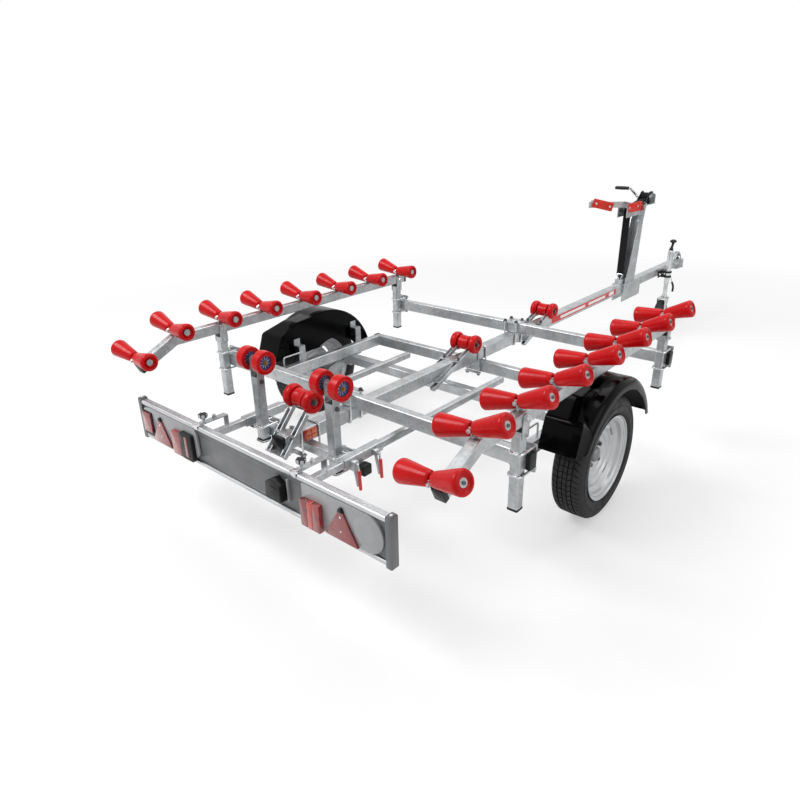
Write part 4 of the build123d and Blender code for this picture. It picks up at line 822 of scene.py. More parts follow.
def roller_place(side, index):
    """The foot of a pair's lug on the beam's middle line."""
    y = ROLLER_Y[index]
    if index:
        return at(side * BEAM_X, y, BEAM_Z)
    drop = math.radians(BEND_DROP)
    distance = (BEND_Y - y) / math.cos(drop) - ROLLER_UP * math.tan(drop)
    foot_y, foot_z = BEND_Y - distance * math.cos(drop), BEAM_Z - distance * math.sin(drop)
    return at(side * BEAM_X, foot_y, foot_z, (BEND_DROP, "X"))


def along(mm):
    return Matrix.Translation((mm * MM, 0, 0))


# %% Cones, pin ends and lug bolts
for name, side, tilt, v_angle, dish in ROLLER_SIDES:
    cones, nuts, ends = bmesh.new(), bmesh.new(), bmesh.new()
    lift = ROLLER_UP * math.cos(math.radians(tilt))
    lean = -side * math.tan(math.radians(tilt)) * lift
    for index in range(len(ROLLER_Y)):
        point = roller_place(side, index) @ Matrix.Translation((lean * MM, 0, lift * MM))
        for way in (1, -1):
            turn = Matrix.Rotation(math.radians(-side * tilt - way * v_angle), 4, "Y")
            if way < 0:
                turn = turn @ Matrix.Rotation(math.pi, 4, "Z")
            join(cones, turned(cone_rows(dish), 56), point @ turn @ along(CONE_GAP))
            seat = CONE_LONG - dish - 3
            pin_end = [(seat, 0), (seat, 7.6, 0.5), (seat + 2, 7.6, 0.8), (seat + 2, 6, 0.2), (seat + 7, 6, 1),
                       (seat + 7, 3.4, 0.2), (seat + 5, 3.2), (seat + 5, 0)]
            join(nuts, turned(pin_end, 12), point @ turn @ along(CONE_GAP))
        for degrees, size in ((90, 17), (-90, 15)):
            join(ends, bolt(size, 0.6), point @ Matrix.Rotation(math.radians(degrees), 4, "X")
                 @ Matrix.Translation((0, 0, LUG_FACE * MM)))
    keep(cones, f"roller_cones_{name}", "trailer", roller_red, [f"side_rollers_{name}"], 50)
    keep(nuts, f"roller_pin_ends_{name}", "trailer", zinc_dark)
    keep(ends, f"roller_lug_bolts_{name}", "trailer", zinc_bright)
# %% [markdown]
# ## Keel rollers
# The keel runs over three rollers in the middle. Each is three drums on one pin: a waisted one between the
# ladder's cheeks, and a dished one outside each cheek. Two turned outlines cover all nine drums, because the
# second outer drum is the first one mirrored, and `keep` turns its faces outwards again.

# %% Keel rollers
KEEL_HALF, DRUM_R, CHEEK_X = 73, 48, 30.5
KEEL_MIDDLE = [(-CHEEK_X + 2, 9), (-CHEEK_X + 2, 38, 3), (0, 35.5, 12), (CHEEK_X - 2, 38, 3), (CHEEK_X - 2, 9)]
KEEL_OUTER = [(36.5, 9), (36.5, 41, 3), (46, 47.4, 7), (62, DRUM_R, 8), (KEEL_HALF, 42, 7), (KEEL_HALF, 26, 3),
              (62, 22, 3), (61, 9)]
KEEL_WASHER = [(35, 8), (35, 14, 0.5), (36.4, 14, 0.5), (36.4, 8)]
KEEL_NUT_X = 61.3
for name in ("rear", "middle", "front"):
    body = f"keel_roller_{name}"
    centre = middle(body)
    place = Matrix.Translation((0, centre.y, centre.z))
    drums = turned(KEEL_MIDDLE, 64)
    for way in (1, -1):
        outer = turned(KEEL_OUTER, 64)
        join(drums, outer, Matrix.Scale(way, 4, (1, 0, 0)))
    bmesh.ops.transform(drums, matrix=place, verts=drums.verts)
    keep(drums, f"keel_drums_{name}", body, roller_red, [body], 40)
    nuts = bmesh.new()
    for way in (1, -1):
        join(nuts, bolt(19, 0.5), place @ Matrix.Translation((way * KEEL_NUT_X * MM, 0, 0))
             @ Matrix.Rotation(way * math.pi / 2, 4, "Y"))
        join(nuts, turned(KEEL_WASHER, 24), place @ Matrix.Scale(way, 4, (1, 0, 0)))
    keep(nuts, f"keel_pin_nuts_{name}", "trailer", zinc_dark)

# %% [markdown]
# ## Twin wheels
# The stern wheels are a soft red tyre on a blue hub with ten ribs, like a roller skate's, and turn on a brass
# bolt. Tyre and hub are turned. A rib is one softened block, and a loop of turns about x places the ten.

# %% Twin wheel sizes
TWIN_R, TWIN_HALF, TWIN_APART, SPOKES = 48, 22.5, 96, 10
TWIN_TYRE = [(-14, 27.5), (-19, 28.5, 1), (-TWIN_HALF, 34, 4), (-TWIN_HALF, TWIN_R - 1, 11), (0, TWIN_R, 20),
             (TWIN_HALF, TWIN_R - 1, 11), (TWIN_HALF, 34, 4), (19, 28.5, 1), (14, 27.5)]
TWIN_HUB = [(-13, 7), (-13, 10, 1), (-9, 12, 1), (-9, 25, 1), (-15, 27.2, 0.6),
            (15, 27.2, 0.6), (9, 25, 1), (9, 12, 1), (13, 10, 1), (13, 7)]
SPOKE_MIDDLE, SPOKE_SIZE = 18.2, (25.5, 2.2, 16)
TWIN_NUT_X = 13.2


def twin_spoke():
    """One rib of a hub, standing up from the axis."""
    spoke = bmesh.new()
    bmesh.ops.create_cube(spoke, size=1.0, matrix=Matrix.Translation((0, 0, SPOKE_MIDDLE * MM))
                          @ Matrix.Diagonal((*(side * MM for side in SPOKE_SIZE), 1)))
    soften(spoke, 0.8, 2)
    return spoke


# %% Twin wheels
for name, _ in SIDES:
    centre = middle(f"twin_wheels_{name}")
    tyres, hubs, spokes, bolts = bmesh.new(), bmesh.new(), bmesh.new(), bmesh.new()
    for way in (1, -1):
        place = Matrix.Translation(centre) @ Matrix.Translation((way * TWIN_APART / 2 * MM, 0, 0))
        join(tyres, turned(TWIN_TYRE, 64), place)
        join(hubs, turned(TWIN_HUB, 48), place)
        for number in range(SPOKES):
            join(spokes, twin_spoke(), place @ Matrix.Rotation(math.tau * number / SPOKES, 4, "X"))
        for face in (1, -1):
            join(bolts, bolt(12, 0.4), place @ Matrix.Translation((face * TWIN_NUT_X * MM, 0, 0))
                 @ Matrix.Rotation(face * math.pi / 2, 4, "Y"))
    body = f"twin_wheels_{name}"
    keep(tyres, f"twin_tyres_{name}", body, roller_red, [body], 50)
    keep(hubs, f"twin_hubs_{name}", body, hub_blue)
    keep(spokes, f"twin_spokes_{name}", body, zinc_bright)
    keep(bolts, f"twin_bolts_{name}", "trailer", brass)
# %% [markdown]
# ## Light board
# The board is a plastic panel held between two aluminium extrusions. A rail is one outline with grooves,
# extruded along x, which is how the real one is made. `profile` does that, and `upright` does the same for
# the flat pieces that stand on the board's face.

# %% Board sizes
(BOARD_LEFT, BOARD_RIGHT), (BOARD_REAR, BOARD_FRONT), (BOARD_LOW, BOARD_TOP) = limits("light_board_rails")
RAIL_HIGH = 18
PANEL_Y = limits("light_board_panel")[1][0]
CARRIER_Y = BOARD_REAR - 4
print("board from", round(BOARD_LEFT), "to", round(BOARD_RIGHT), "rear face at y", round(BOARD_REAR))


def profile(rows, x_from, x_to, edge=0.0):
    """A bar along x from its outline in y and z, in place. Rows are y, z and rounding."""
    bar = plate(rows, x_to - x_from, edge)
    turn = Matrix(((0, 0, 1, x_from * MM), (1, 0, 0, AXLE_Y), (0, 1, 0, 0), (0, 0, 0, 1)))
    bmesh.ops.transform(bar, matrix=turn, verts=bar.verts)
    return bar


def upright(rows, y_rear, thick, edge=0.8):
    """A plate that stands on the board, from its outline in x and z. Its rear face is at y_rear."""
    shape = plate(rows, thick, edge)
    turn = Matrix(((1, 0, 0, 0), (0, 0, 1, AXLE_Y + y_rear * MM), (0, 1, 0, 0), (0, 0, 0, 1)))
    bmesh.ops.transform(shape, matrix=turn, verts=shape.verts)
    bmesh.ops.recalc_face_normals(shape, faces=shape.faces)
    return shape


# %% Rails
GROOVES, GROOVE_WIDE, GROOVE_DEEP = (8, 15, 22), 2.4, 1.6
SLOT_REAR, SLOT_FRONT, SLOT_DEEP = 7, 13, 5   # slot for the panel
rails = bmesh.new()
for low, high, sign in ((BOARD_TOP - RAIL_HIGH, BOARD_TOP, 1), (BOARD_LOW, BOARD_LOW + RAIL_HIGH, -1)):
    inner, outer = (low, high) if sign > 0 else (high, low)
    rows = [(BOARD_REAR + 3, inner), (BOARD_REAR, inner + sign * 3, 1), (BOARD_REAR, outer - sign * 5, 2),
            (BOARD_REAR + 4, outer, 2)]
    for ahead in GROOVES:
        y, floor_z = BOARD_REAR + ahead, outer - sign * GROOVE_DEEP
        rows += [(y, outer), (y, floor_z), (y + GROOVE_WIDE, floor_z), (y + GROOVE_WIDE, outer)]
    slot_z = inner + sign * SLOT_DEEP
    slot_front, slot_rear = BOARD_REAR + SLOT_FRONT, BOARD_REAR + SLOT_REAR
    rows += [(BOARD_FRONT, outer, 1.5), (BOARD_FRONT, inner, 1), (slot_front, inner), (slot_front, slot_z),
             (slot_rear, slot_z), (slot_rear, inner)]
    join(rails, profile(rows, BOARD_LEFT, BOARD_RIGHT))
keep(rails, "board_rails", "light_board", aluminium, ["light_board_rails"])

# %% Panel
RAIL_LAP = 3             # of the panel into each rail
LIP_HIGH = 21            # raised strip along the panel's upper edge
panel_low, panel_top = BOARD_LOW + RAIL_HIGH, BOARD_TOP - RAIL_HIGH
panel = block((BOARD_LEFT, BOARD_RIGHT), (PANEL_Y, PANEL_Y + 4),
              (panel_low - RAIL_LAP, panel_top + RAIL_LAP), 0.4)
join(panel, block((BOARD_LEFT + 1, BOARD_RIGHT - 1), (PANEL_Y - 2.2, PANEL_Y + 1),
                  (panel_top - 1 - LIP_HIGH, panel_top - 1), 1.0))
keep(panel, "board_panel", "light_board", board_grey, ["light_board_panel"])

# %% [markdown]
# Pale housings carry the lamps. The left one ends in a blunt point, and the right one in a half circle with a
# shallow dome, which is a turned outline set facing the rear. Plastic posts close the rails' ends.

# %% Lamp housings
LOW, HIGH = BOARD_LOW + RAIL_HIGH + 0.3, BOARD_TOP - RAIL_HIGH - 0.3
HOUSING_THICK = 11
LEFT_HOUSING = [(BOARD_LEFT + 8, LOW), (-322, LOW, 8), (-284, 352, 14), (-290, HIGH - 12, 10), (-300, HIGH, 4),
                (-640, HIGH, 4), (BOARD_LEFT + 18, HIGH - 6, 22), (BOARD_LEFT + 8, HIGH - 40, 10)]
RIGHT_HOUSING_X = 332
DOME_X, DOME_Z, DOME_R = BOARD_RIGHT - 76, (LOW + HIGH) / 2, (HIGH - LOW) / 2
DOME_STEPS = 16
DOME = [(0, 0), (4.5, 22), (3.6, 44), (0, 60), (-3, 62), (-3, 0)]
housings = upright(LEFT_HOUSING, CARRIER_Y, HOUSING_THICK, 2.2)
rows = [(RIGHT_HOUSING_X, LOW, 3), (RIGHT_HOUSING_X, HIGH, 3)]
for step in range(DOME_STEPS + 1):
    angle = math.pi * step / DOME_STEPS
    rows.append((DOME_X + DOME_R * math.sin(angle), DOME_Z + DOME_R * math.cos(angle)))
join(housings, upright(rows, CARRIER_Y, HOUSING_THICK, 1.6))
join(housings, turned(DOME, 56), at(DOME_X, CARRIER_Y + 0.4, DOME_Z, REARWARD))
join(housings, block((250, 258), (CARRIER_Y + 2, PANEL_Y + 1), (352, 440), 1.0))
keep(housings, "lamp_housings", "light_board", carrier_grey, ["light_board_ends"], 40)

# %% End posts and screws
(POSTS_LEFT, POSTS_RIGHT), _, (POSTS_LOW, POSTS_TOP) = limits("light_board_ends")
ends = bmesh.new()
for low, high in ((BOARD_RIGHT, POSTS_RIGHT), (POSTS_LEFT, BOARD_LEFT)):
    join(ends, block((low, high), (BOARD_REAR - 2, BOARD_FRONT + 2), (POSTS_LOW, POSTS_TOP - 3), 1.6))
    join(ends, block((low + 2, high - 2), (BOARD_REAR, BOARD_FRONT), (POSTS_TOP - 4, POSTS_TOP), 1.2))
keep(ends, "board_end_posts", "light_board", board_grey, (), 40)

TRIANGLE_X = (522, -551)
POST_SCREW = [(0, 0), (0, 5.5, 0.6), (1.6, 5, 0.8), (2.2, 0)]
LENS_SCREW = [(0, 0), (0, 4.2, 0.4), (1.4, 3.6, 0.8), (1.8, 0)]
screws = bmesh.new()
for x in (BOARD_RIGHT + 12, BOARD_LEFT - 12):
    join(screws, turned(POST_SCREW, 20), at(x, (BOARD_REAR + BOARD_FRONT) / 2, POSTS_TOP - 0.6, UPRIGHT))
for x in TRIANGLE_X:
    for z in (405, 352):
        join(screws, turned(LENS_SCREW, 20), at(x, BOARD_REAR - 12, z, REARWARD))
keep(screws, "board_screws", "light_board", zinc_bright)

# %% [markdown]
# Each lamp is a block of lens or of black housing with soft corners, so one table of limits makes them all.
# The lenses stand out further than their bases. The two triangles are the reflectors that every trailer has.
# Nothing is written on the number plate's place, and its lamp is a black hood.

# %% Lamps
MARKER_FACE, DEEP_FACE, BASE_FACE, STRIP_FACE = (BOARD_REAR - out for out in (14, 22, 8, 23.5))
LENS_EDGE, BASE_EDGE = 2.4, 1.2
LAMPS = (  # name, finish, slot, x limits, z limits, rear face, corner rounding, edge
    ("left_marker_lens", lens_red, "lamp_red", (-688, -624), (346, 436), MARKER_FACE, 5, LENS_EDGE),
    ("left_marker_base", plain_black, "black_plastic", (-692, -618), (330, 440), BASE_FACE, 4, BASE_EDGE),
    ("left_lens", lens_red, "lamp_red", (-452, -388), (316, 420), DEEP_FACE, 6, LENS_EDGE),
    ("left_side_lamp", plain_black, "black_plastic", (-389, -306), (316, 432), DEEP_FACE, 10, LENS_EDGE),
    ("left_side_strip", lens_red, "lamp_red", (-352, -334), (330, 420), STRIP_FACE, 6, BASE_EDGE),
    ("right_lens_dark", lens_red, "lamp_red", (338, 372), (306, 410), DEEP_FACE, 5, LENS_EDGE),
    ("right_lens_bright", lens_orange, "amber", (372, 398), (306, 411), DEEP_FACE, 2, LENS_EDGE),
    ("right_lens_side", lens_red, "lamp_red", (398, 432), (306, 412), DEEP_FACE, 5, LENS_EDGE),
)
for name, made, slot, xs, zs, face, rounding, edge in LAMPS:
    lamp = upright(corners(xs, zs, rounding), face, CARRIER_Y + 2 - face, edge)
    keep(lamp, name, "light_board", made, (), 30)

# %% Plate lamp and reflector triangles
HOOD = [(165, 356, 5), (172, 350, 3), (241, 350, 3), (248, 356, 5), (246, 418, 6), (206, 437, 5), (168, 416, 6)]
plate_lamp = bmesh.new()
join(plate_lamp, upright(HOOD, BOARD_REAR - 30, PANEL_Y - BOARD_REAR + 30, 3.5))
join(plate_lamp, block((196, 226), (BOARD_REAR - 33, BOARD_REAR - 28), (403, 408), 1.2))
for x in TRIANGLE_X:
    tab = [(x - 12, 424, 2), (x + 12, 424, 2), (x + 5, 440, 3), (x - 5, 440, 3)]
    join(plate_lamp, upright(tab, BOARD_REAR - 13.5, 10, 1.4))
keep(plate_lamp, "number_plate_lamp", "light_board", plain_black, ["light_board_lamps"], 30)

triangles = bmesh.new()
for x in TRIANGLE_X:
    triangle = [(x - 74, LOW, 4), (x + 74, LOW, 4), (x + 3, 436, 3), (x - 3, 436, 3)]
    join(triangles, upright(triangle, BOARD_REAR - 12, 9, 1.6))
keep(triangles, "reflector_triangles", "light_board", lens_deep, (), 30)
# %% [markdown]
# ## Board fixings, sleeves and levers
# Black star knobs hold the board to its two arms. A star is a circle whose radius rises and falls six times,
# cut from plate with soft edges. Each arm slides in a sleeve under the frame, and the right sleeve has two
# clamp levers, bent from round bar, with grips of red vinyl.

# %% Knobs on the board's brackets
ARM_X = 290
KNOB_Y, KNOB_Z = BOARD_REAR + 40, BOARD_TOP + 24.5
STAR_POINTS, STAR_R, STAR_WAVE, STAR_STEPS = 6, 15.5, 3, 48
star = []
for step in range(STAR_STEPS):
    angle = math.tau * step / STAR_STEPS
    radius = STAR_R + STAR_WAVE * math.cos(STAR_POINTS * angle)
    star.append((radius * math.cos(angle), radius * math.sin(angle)))
KNOB_SKIRT = [(0, 0), (0, 8, 1), (8, 14, 1), (8, 0)]
knobs = bmesh.new()
for x in (ARM_X, -ARM_X):
    join(knobs, plate(star, 15, 2.5), at(x, KNOB_Y, KNOB_Z))
    join(knobs, turned(KNOB_SKIRT, 28), at(x, KNOB_Y, BOARD_TOP + 17, UPRIGHT))
keep(knobs, "board_knobs", "light_board", plain_black)

# %% Studs, nuts and clips on the brackets
STUD_FOOT = [(0, 0), (0, 10, 0.5), (2.4, 10, 0.5), (2.4, 6), (14, 6), (14, 0)]
CLIP_HALF, CLIP_TOP = 17, BOARD_TOP + 4.6
studs = bmesh.new()
for x in (ARM_X, -ARM_X):
    across = (x - CLIP_HALF, x + CLIP_HALF)
    join(studs, turned(STUD_FOOT, 24), at(x, KNOB_Y, BOARD_TOP + 4.2, UPRIGHT))
    join(studs, bolt(17, 0.8), at(x, BOARD_REAR + 88, BOARD_TOP + 4.2))
    join(studs, block(across, (BOARD_REAR - 3, BOARD_REAR + 22), (BOARD_TOP + 0.5, CLIP_TOP), 0.8))
    join(studs, block(across, (BOARD_REAR - 3.4, BOARD_REAR - 0.4), (BOARD_TOP - 12, BOARD_TOP + 4.4), 0.8))
keep(studs, "board_studs", "light_board", zinc_bright)

# %% Clamp levers on the right sleeve
SLEEVE_REAR = limits("light_sleeves")[1][0]
SLEEVE_FACE, SLEEVE_Z = ARM_X + 20, 413
BOSS_HALF, LEVER_R, LEVER_BEND, GRIP_BACK = 11, 4, 9, 10
LEVER_ROUTE = ((10, 4), (30, 2), (36, -22), (42, -88))   # out from the sleeve's face, up from its middle
LEVER_GRIP = [(0, 0), (0, 6.2, 3), (78, 7, 3), (78, 0)]
grips, levers = bmesh.new(), bmesh.new()
for y in (SLEEVE_REAR + 35, SLEEVE_REAR + 150):
    join(levers, block((SLEEVE_FACE, SLEEVE_FACE + 18), (y - BOSS_HALF, y + BOSS_HALF),
                       (SLEEVE_Z - BOSS_HALF, SLEEVE_Z + BOSS_HALF), 1.5))
    points = [spot(SLEEVE_FACE + out, y - 2 * step, SLEEVE_Z + up)
              for step, (out, up) in enumerate(LEVER_ROUTE)]
    join(levers, wire(points, LEVER_R, LEVER_BEND))
    low, high = points[-1], points[-2]
    turn = (high - low).to_track_quat("X", "Z").to_matrix().to_4x4()
    grip_foot = low + (low - high).normalized() * GRIP_BACK * MM
    join(grips, turned(LEVER_GRIP, 24), Matrix.Translation(grip_foot) @ turn)
    join(levers, bolt(14, 0.6), at(SLEEVE_FACE + 18, y, SLEEVE_Z, (90, "Y")))
keep(levers, "sleeve_levers", "trailer", zinc_bright)
keep(grips, "sleeve_grips", "trailer", grip_red)
# %% [markdown]
# ## U-bolts and tube caps
# The frame is bolted, not welded: pairs of U-bolts hold each tube to the one it crosses, with a short strap
# and two nuts on each. One function makes a crossing in its own place, and a table of crossings sets it down
# ten times.

# %% Frame sizes
POST = 40
CROSS_W, CROSS_H, HIGH_CROSS_Z, LOW_CROSS_Z = 40, 60, 483, 363
REAR_CROSS_Y, FRONT_CROSS_Y, MIDDLE_CROSS_Y, LOWER_CROSS_Y = -568, 740, 380, -825
SPINE, SPINE_TOP, SPINE_BOTTOM = 60, 453, 393
TWIN_X, TWIN_Y = 216, LOWER_CROSS_Y - 40
LOWER_CROSS, LOWER_CROSS_Z = 40, 373
print("crossmembers at y =", (REAR_CROSS_Y, FRONT_CROSS_Y, MIDDLE_CROSS_Y, LOWER_CROSS_Y))

# %% One pair of U-bolts
U_ROD, U_BEND, U_GAP = 4.5, 12, 0.3     # rod, bend of its corners, and its distance from the tube
U_END, STRAP_THICK, STRAP_HALF = 16, 5, 12


def local(x, y, z, *turns):
    """A place on a piece, counted from the piece's own corner."""
    return Matrix.Translation((0, -AXLE_Y, 0)) @ at(x, y, z, *turns)


def u_bolts(rods, straps, nuts, place, held, crossed, reach, apart=0):
    """Two U-bolts round a held tube that runs along z, with their straps behind a tube of that reach."""
    leg = held / 2 + U_ROD + U_GAP
    level = crossed / 2 + U_ROD + 8 + apart
    end, bend = reach + U_END, -held - U_ROD - U_GAP
    strap = corners((-leg - 11, leg + 11), (-STRAP_HALF, STRAP_HALF), 4)
    for z in (-level, level):
        loop = ((-leg, end, z), (-leg, bend, z), (leg, bend, z), (leg, end, z))
        join(rods, wire([Vector(point) * MM for point in loop], U_ROD, U_BEND), place)
        join(straps, plate(strap, STRAP_THICK, 0.8), place @ local(0, reach + STRAP_THICK + 0.1, z, (90, "X")))
        for x in (-leg, leg):
            join(nuts, bolt(15.5, 0.3), place @ local(x, reach + STRAP_THICK, z, (-90, "X")))


# %% All the crossings
FRAME_CROSSINGS = (  # y, side of the spine, held side, crossed height, reach, apart
    (REAR_CROSS_Y, 1, SPINE, CROSS_W, CROSS_H, 0),
    (FRONT_CROSS_Y, 1, SPINE, CROSS_W, CROSS_H, 0),
    (MIDDLE_CROSS_Y, -1, SPINE, CROSS_W, CROSS_H, 0),
    (LOWER_CROSS_Y, -1, SPINE, LOWER_CROSS, LOWER_CROSS, 12),
)
frame_places = [(at(0, y, SPINE_TOP if side > 0 else SPINE_BOTTOM, (90 * side, "X")), *sizes)
                for y, side, *sizes in FRAME_CROSSINGS]
post_places = [(at(sign * BEAM_X, y - CROSS_W / 2, HIGH_CROSS_Z), POST, CROSS_H, CROSS_W)
               for _, sign in SIDES for y in (REAR_CROSS_Y, FRONT_CROSS_Y)]
post_places += [(at(sign * TWIN_X, LOWER_CROSS_Y - LOWER_CROSS / 2, LOWER_CROSS_Z),
                 POST, LOWER_CROSS, LOWER_CROSS) for _, sign in SIDES]
for name, places, stands_for in (("frame", frame_places, "frame_clamps"), ("post", post_places, "post_clamps")):
    rods, straps, nuts = bmesh.new(), bmesh.new(), bmesh.new()
    for place, *sizes in places:
        u_bolts(rods, straps, nuts, place, *sizes)
    keep(rods, f"{name}_u_bolts", "trailer", zinc_bright, [stands_for], 30)
    keep(straps, f"{name}_straps", "trailer", zinc)
    keep(nuts, f"{name}_nuts", "trailer", zinc_dark)

# %% [markdown]
# Every open tube end has a black plastic cap whose sleeve grips the tube. A cap is a plate a little larger
# than the tube, pushed on by the length of its sleeve. A table gives each end its place and the turn that
# points outwards.

# %% Tube caps
CAP_OVER, CAP_END = 1.2, 3   # of a cap beyond the tube's faces and beyond its end
BEAM_SIDES = (40, 50)
REAR_POST_Y, FRONT_POST_Y = REAR_CROSS_Y - CROSS_W, FRONT_CROSS_Y - CROSS_W
CAP_ROWS = [(-1.0, -960, 423, (90, "X"), (SPINE, SPINE), 14)]   # x, y, z, outward turn, tube's sides, sleeve
for _, sign in SIDES:
    CAP_ROWS += [
        (sign * 873, REAR_CROSS_Y, HIGH_CROSS_Z, (sign * 90, "Y"), (CROSS_H, CROSS_W), 15),
        (sign * 873, FRONT_CROSS_Y, HIGH_CROSS_Z, (sign * 90, "Y"), (CROSS_H, CROSS_W), 15),
        (sign * 725, MIDDLE_CROSS_Y, LOW_CROSS_Z, (sign * 90, "Y"), (CROSS_H, CROSS_W), 12),
        (sign * 340, LOWER_CROSS_Y, LOWER_CROSS_Z, (sign * 90, "Y"), (LOWER_CROSS, LOWER_CROSS), 26),
        (sign * 705, -398, LOW_CROSS_Z, (90, "X"), (CROSS_W, CROSS_H), 10),
        (sign * BEAM_X, 765, BEAM_Z, (-90, "X"), BEAM_SIDES, 12),
        (sign * BEAM_X, -1044.0, 566.2, (115, "X"), BEAM_SIDES, 16),
        (sign * BEAM_X, REAR_POST_Y, 303, (180, "X"), (POST, POST), 6),
        (sign * BEAM_X, FRONT_POST_Y, 340, (180, "X"), (POST, POST), 6),
        (sign * TWIN_X, TWIN_Y, 345, (180, "X"), (POST, POST), 6),
    ]
caps = bmesh.new()
for x, y, z, turn, sides, sleeve in CAP_ROWS:
    a, b = (side / 2 + CAP_OVER for side in sides)
    cap = plate(corners((-a, a), (-b, b), 5), sleeve + CAP_END, 1.2)
    join(caps, cap, at(x, y, z, turn) @ local(0, 0, -sleeve))
PLUG_X, PLUG_Y = 19.6, 21   # half sizes of the plugs in the upper ends of the posts
for _, sign in SIDES:
    for y in (REAR_POST_Y, FRONT_POST_Y):
        x = sign * BEAM_X
        join(caps, block((x - PLUG_X, x + PLUG_X), (y - PLUG_Y, y + PLUG_Y), (606, 627), 2.5))
keep(caps, "tube_cap_sleeves", "trailer", plain_black, ["tube_caps"], 30)

# %% [markdown]
# A side beam hangs between two cheeks that are welded to its post. A cheek is cut from 5 mm plate with a
# round upper end, so half a circle of points closes its outline.

# %% Forks under the side beams
CHEEK_FOOT_Z, CHEEK_R, CHEEK_STEPS, CHEEK_THICK = 579, 20, 14, 5
CHEEK_FACES = ((20.2, 1), (-25.2, -1))   # left face of a cheek from the post's middle, outward way
FORK_BOLTS = ((19, BEAM_Z), (13, 594))   # width, z
forks, fork_bolts = bmesh.new(), bmesh.new()
for _, sign in SIDES:
    for y in (REAR_POST_Y, FRONT_POST_Y):
        cheek = [(y - CHEEK_R, CHEEK_FOOT_Z, 4), (y + CHEEK_R, CHEEK_FOOT_Z, 4)]
        for step in range(CHEEK_STEPS + 1):
            angle = math.pi * step / CHEEK_STEPS
            cheek.append((y + CHEEK_R * math.cos(angle), BEAM_Z + CHEEK_R * math.sin(angle)))
        for face, way in CHEEK_FACES:
            x = sign * BEAM_X + face
            join(forks, profile(cheek, x, x + CHEEK_THICK, 0.9))
            for width, z in FORK_BOLTS:
                join(fork_bolts, bolt(width, 0.3), at(sign * BEAM_X + way * 25, y, z, (way * 90, "Y")))
keep(forks, "beam_fork_cheeks", "trailer", zinc, ["beam_forks"])
keep(fork_bolts, "beam_fork_bolts", "trailer", zinc_bright)
# %% [markdown]
# ## Bolts of the frame
# The keel rollers' ladders, the axle's saddles, the gussets and the guards' stays are all held by plain
# hexagon nuts. They are small, but a frame without them looks like a toy, so `bolt` is set down at each real
# place.

# %% Bolts on ladders, saddles, gussets and stays
LADDERS = (  # y and z of the roller, y and z of the foot
    (-819, 567, -980, 391),
    (277, 509, -62, 376),
    (1088, 504, 782, 384),
)
LADDER_BOLT_X = 43
RAIL_X = 705
SADDLE_Y, SADDLE_BOLT_Z = (85, 199), 328
GUSSET_BOLTS = ((-532, 472), (-380, 376), (-356, 352))   # y, z
STAY_BOLT_X, STAY_Y, STAY_BOLT_Z = 730, (-200, 225), (366, 430)
TWIN_BOLT_Z, TWIN_FACE = 604, 24
more_nuts = bmesh.new()
for y, z, foot_y, foot_z in LADDERS:
    run = (y - foot_y) / (z - foot_z)
    for level, ahead, turn in ((SPINE_TOP, 18, 0), (SPINE_BOTTOM, 14, 180)):
        place_y = foot_y + (level - foot_z) * run + ahead
        for x in (-LADDER_BOLT_X, LADDER_BOLT_X):
            join(more_nuts, bolt(15, 0.8), at(x, place_y, level + (4 if turn == 0 else -4), (turn, "X")))
for _, sign in SIDES:
    for y in SADDLE_Y:
        join(more_nuts, bolt(17, 0.5), at(sign * (RAIL_X + 12), y, SADDLE_BOLT_Z, (180, "X")))
    for way in (1, -1):
        for y, z in GUSSET_BOLTS:
            join(more_nuts, bolt(15, 0.4), at(sign * RAIL_X + way * 25, y, z, (way * 90, "Y")))
    for y in STAY_Y:
        for z in STAY_BOLT_Z:
            join(more_nuts, bolt(13, 0.3), at(sign * STAY_BOLT_X, y, z, (sign * 90, "Y")))
    for way in (-1, 1):
        face_x = sign * TWIN_X + way * TWIN_FACE
        join(more_nuts, bolt(13, 0.4), at(face_x, TWIN_Y, TWIN_BOLT_Z, (way * 90, "Y")))
keep(more_nuts, "frame_bolts", "trailer", zinc_dark)

# %% [markdown]
# ## Reflector and stripe
# An amber reflector of four cells sits on the spine's right side. Further ahead a red and white reflective
# stripe is stuck on it. Both are thin blocks, a few tenths of a millimetre proud, so that no two faces lie in
# one plane.

# %% Side reflector
CELL_IN, CELL_APART = 6, 2   # of a cell from the frame's edge and from the middle
(_, REFLECTOR_OUT), (REFLECTOR_REAR, REFLECTOR_FRONT), (REFLECTOR_LOW, REFLECTOR_TOP) = limits("side_reflector")
base = block((SPINE / 2, REFLECTOR_OUT - 3), (REFLECTOR_REAR, REFLECTOR_FRONT),
             (REFLECTOR_LOW, REFLECTOR_TOP), 2)
keep(base, "reflector_frame", "trailer", lens_orange, ["side_reflector"])
cells = bmesh.new()
mid_y, mid_z = (REFLECTOR_REAR + REFLECTOR_FRONT) / 2, (REFLECTOR_LOW + REFLECTOR_TOP) / 2
for ys in ((REFLECTOR_REAR + CELL_IN, mid_y - CELL_APART), (mid_y + CELL_APART, REFLECTOR_FRONT - CELL_IN)):
    for zs in ((REFLECTOR_LOW + CELL_IN, mid_z - CELL_APART), (mid_z + CELL_APART, REFLECTOR_TOP - CELL_IN)):
        join(cells, block((REFLECTOR_OUT - 6, REFLECTOR_OUT - 0.5), ys, zs, 1.5))
keep(cells, "reflector_cells", "trailer", lens_amber)

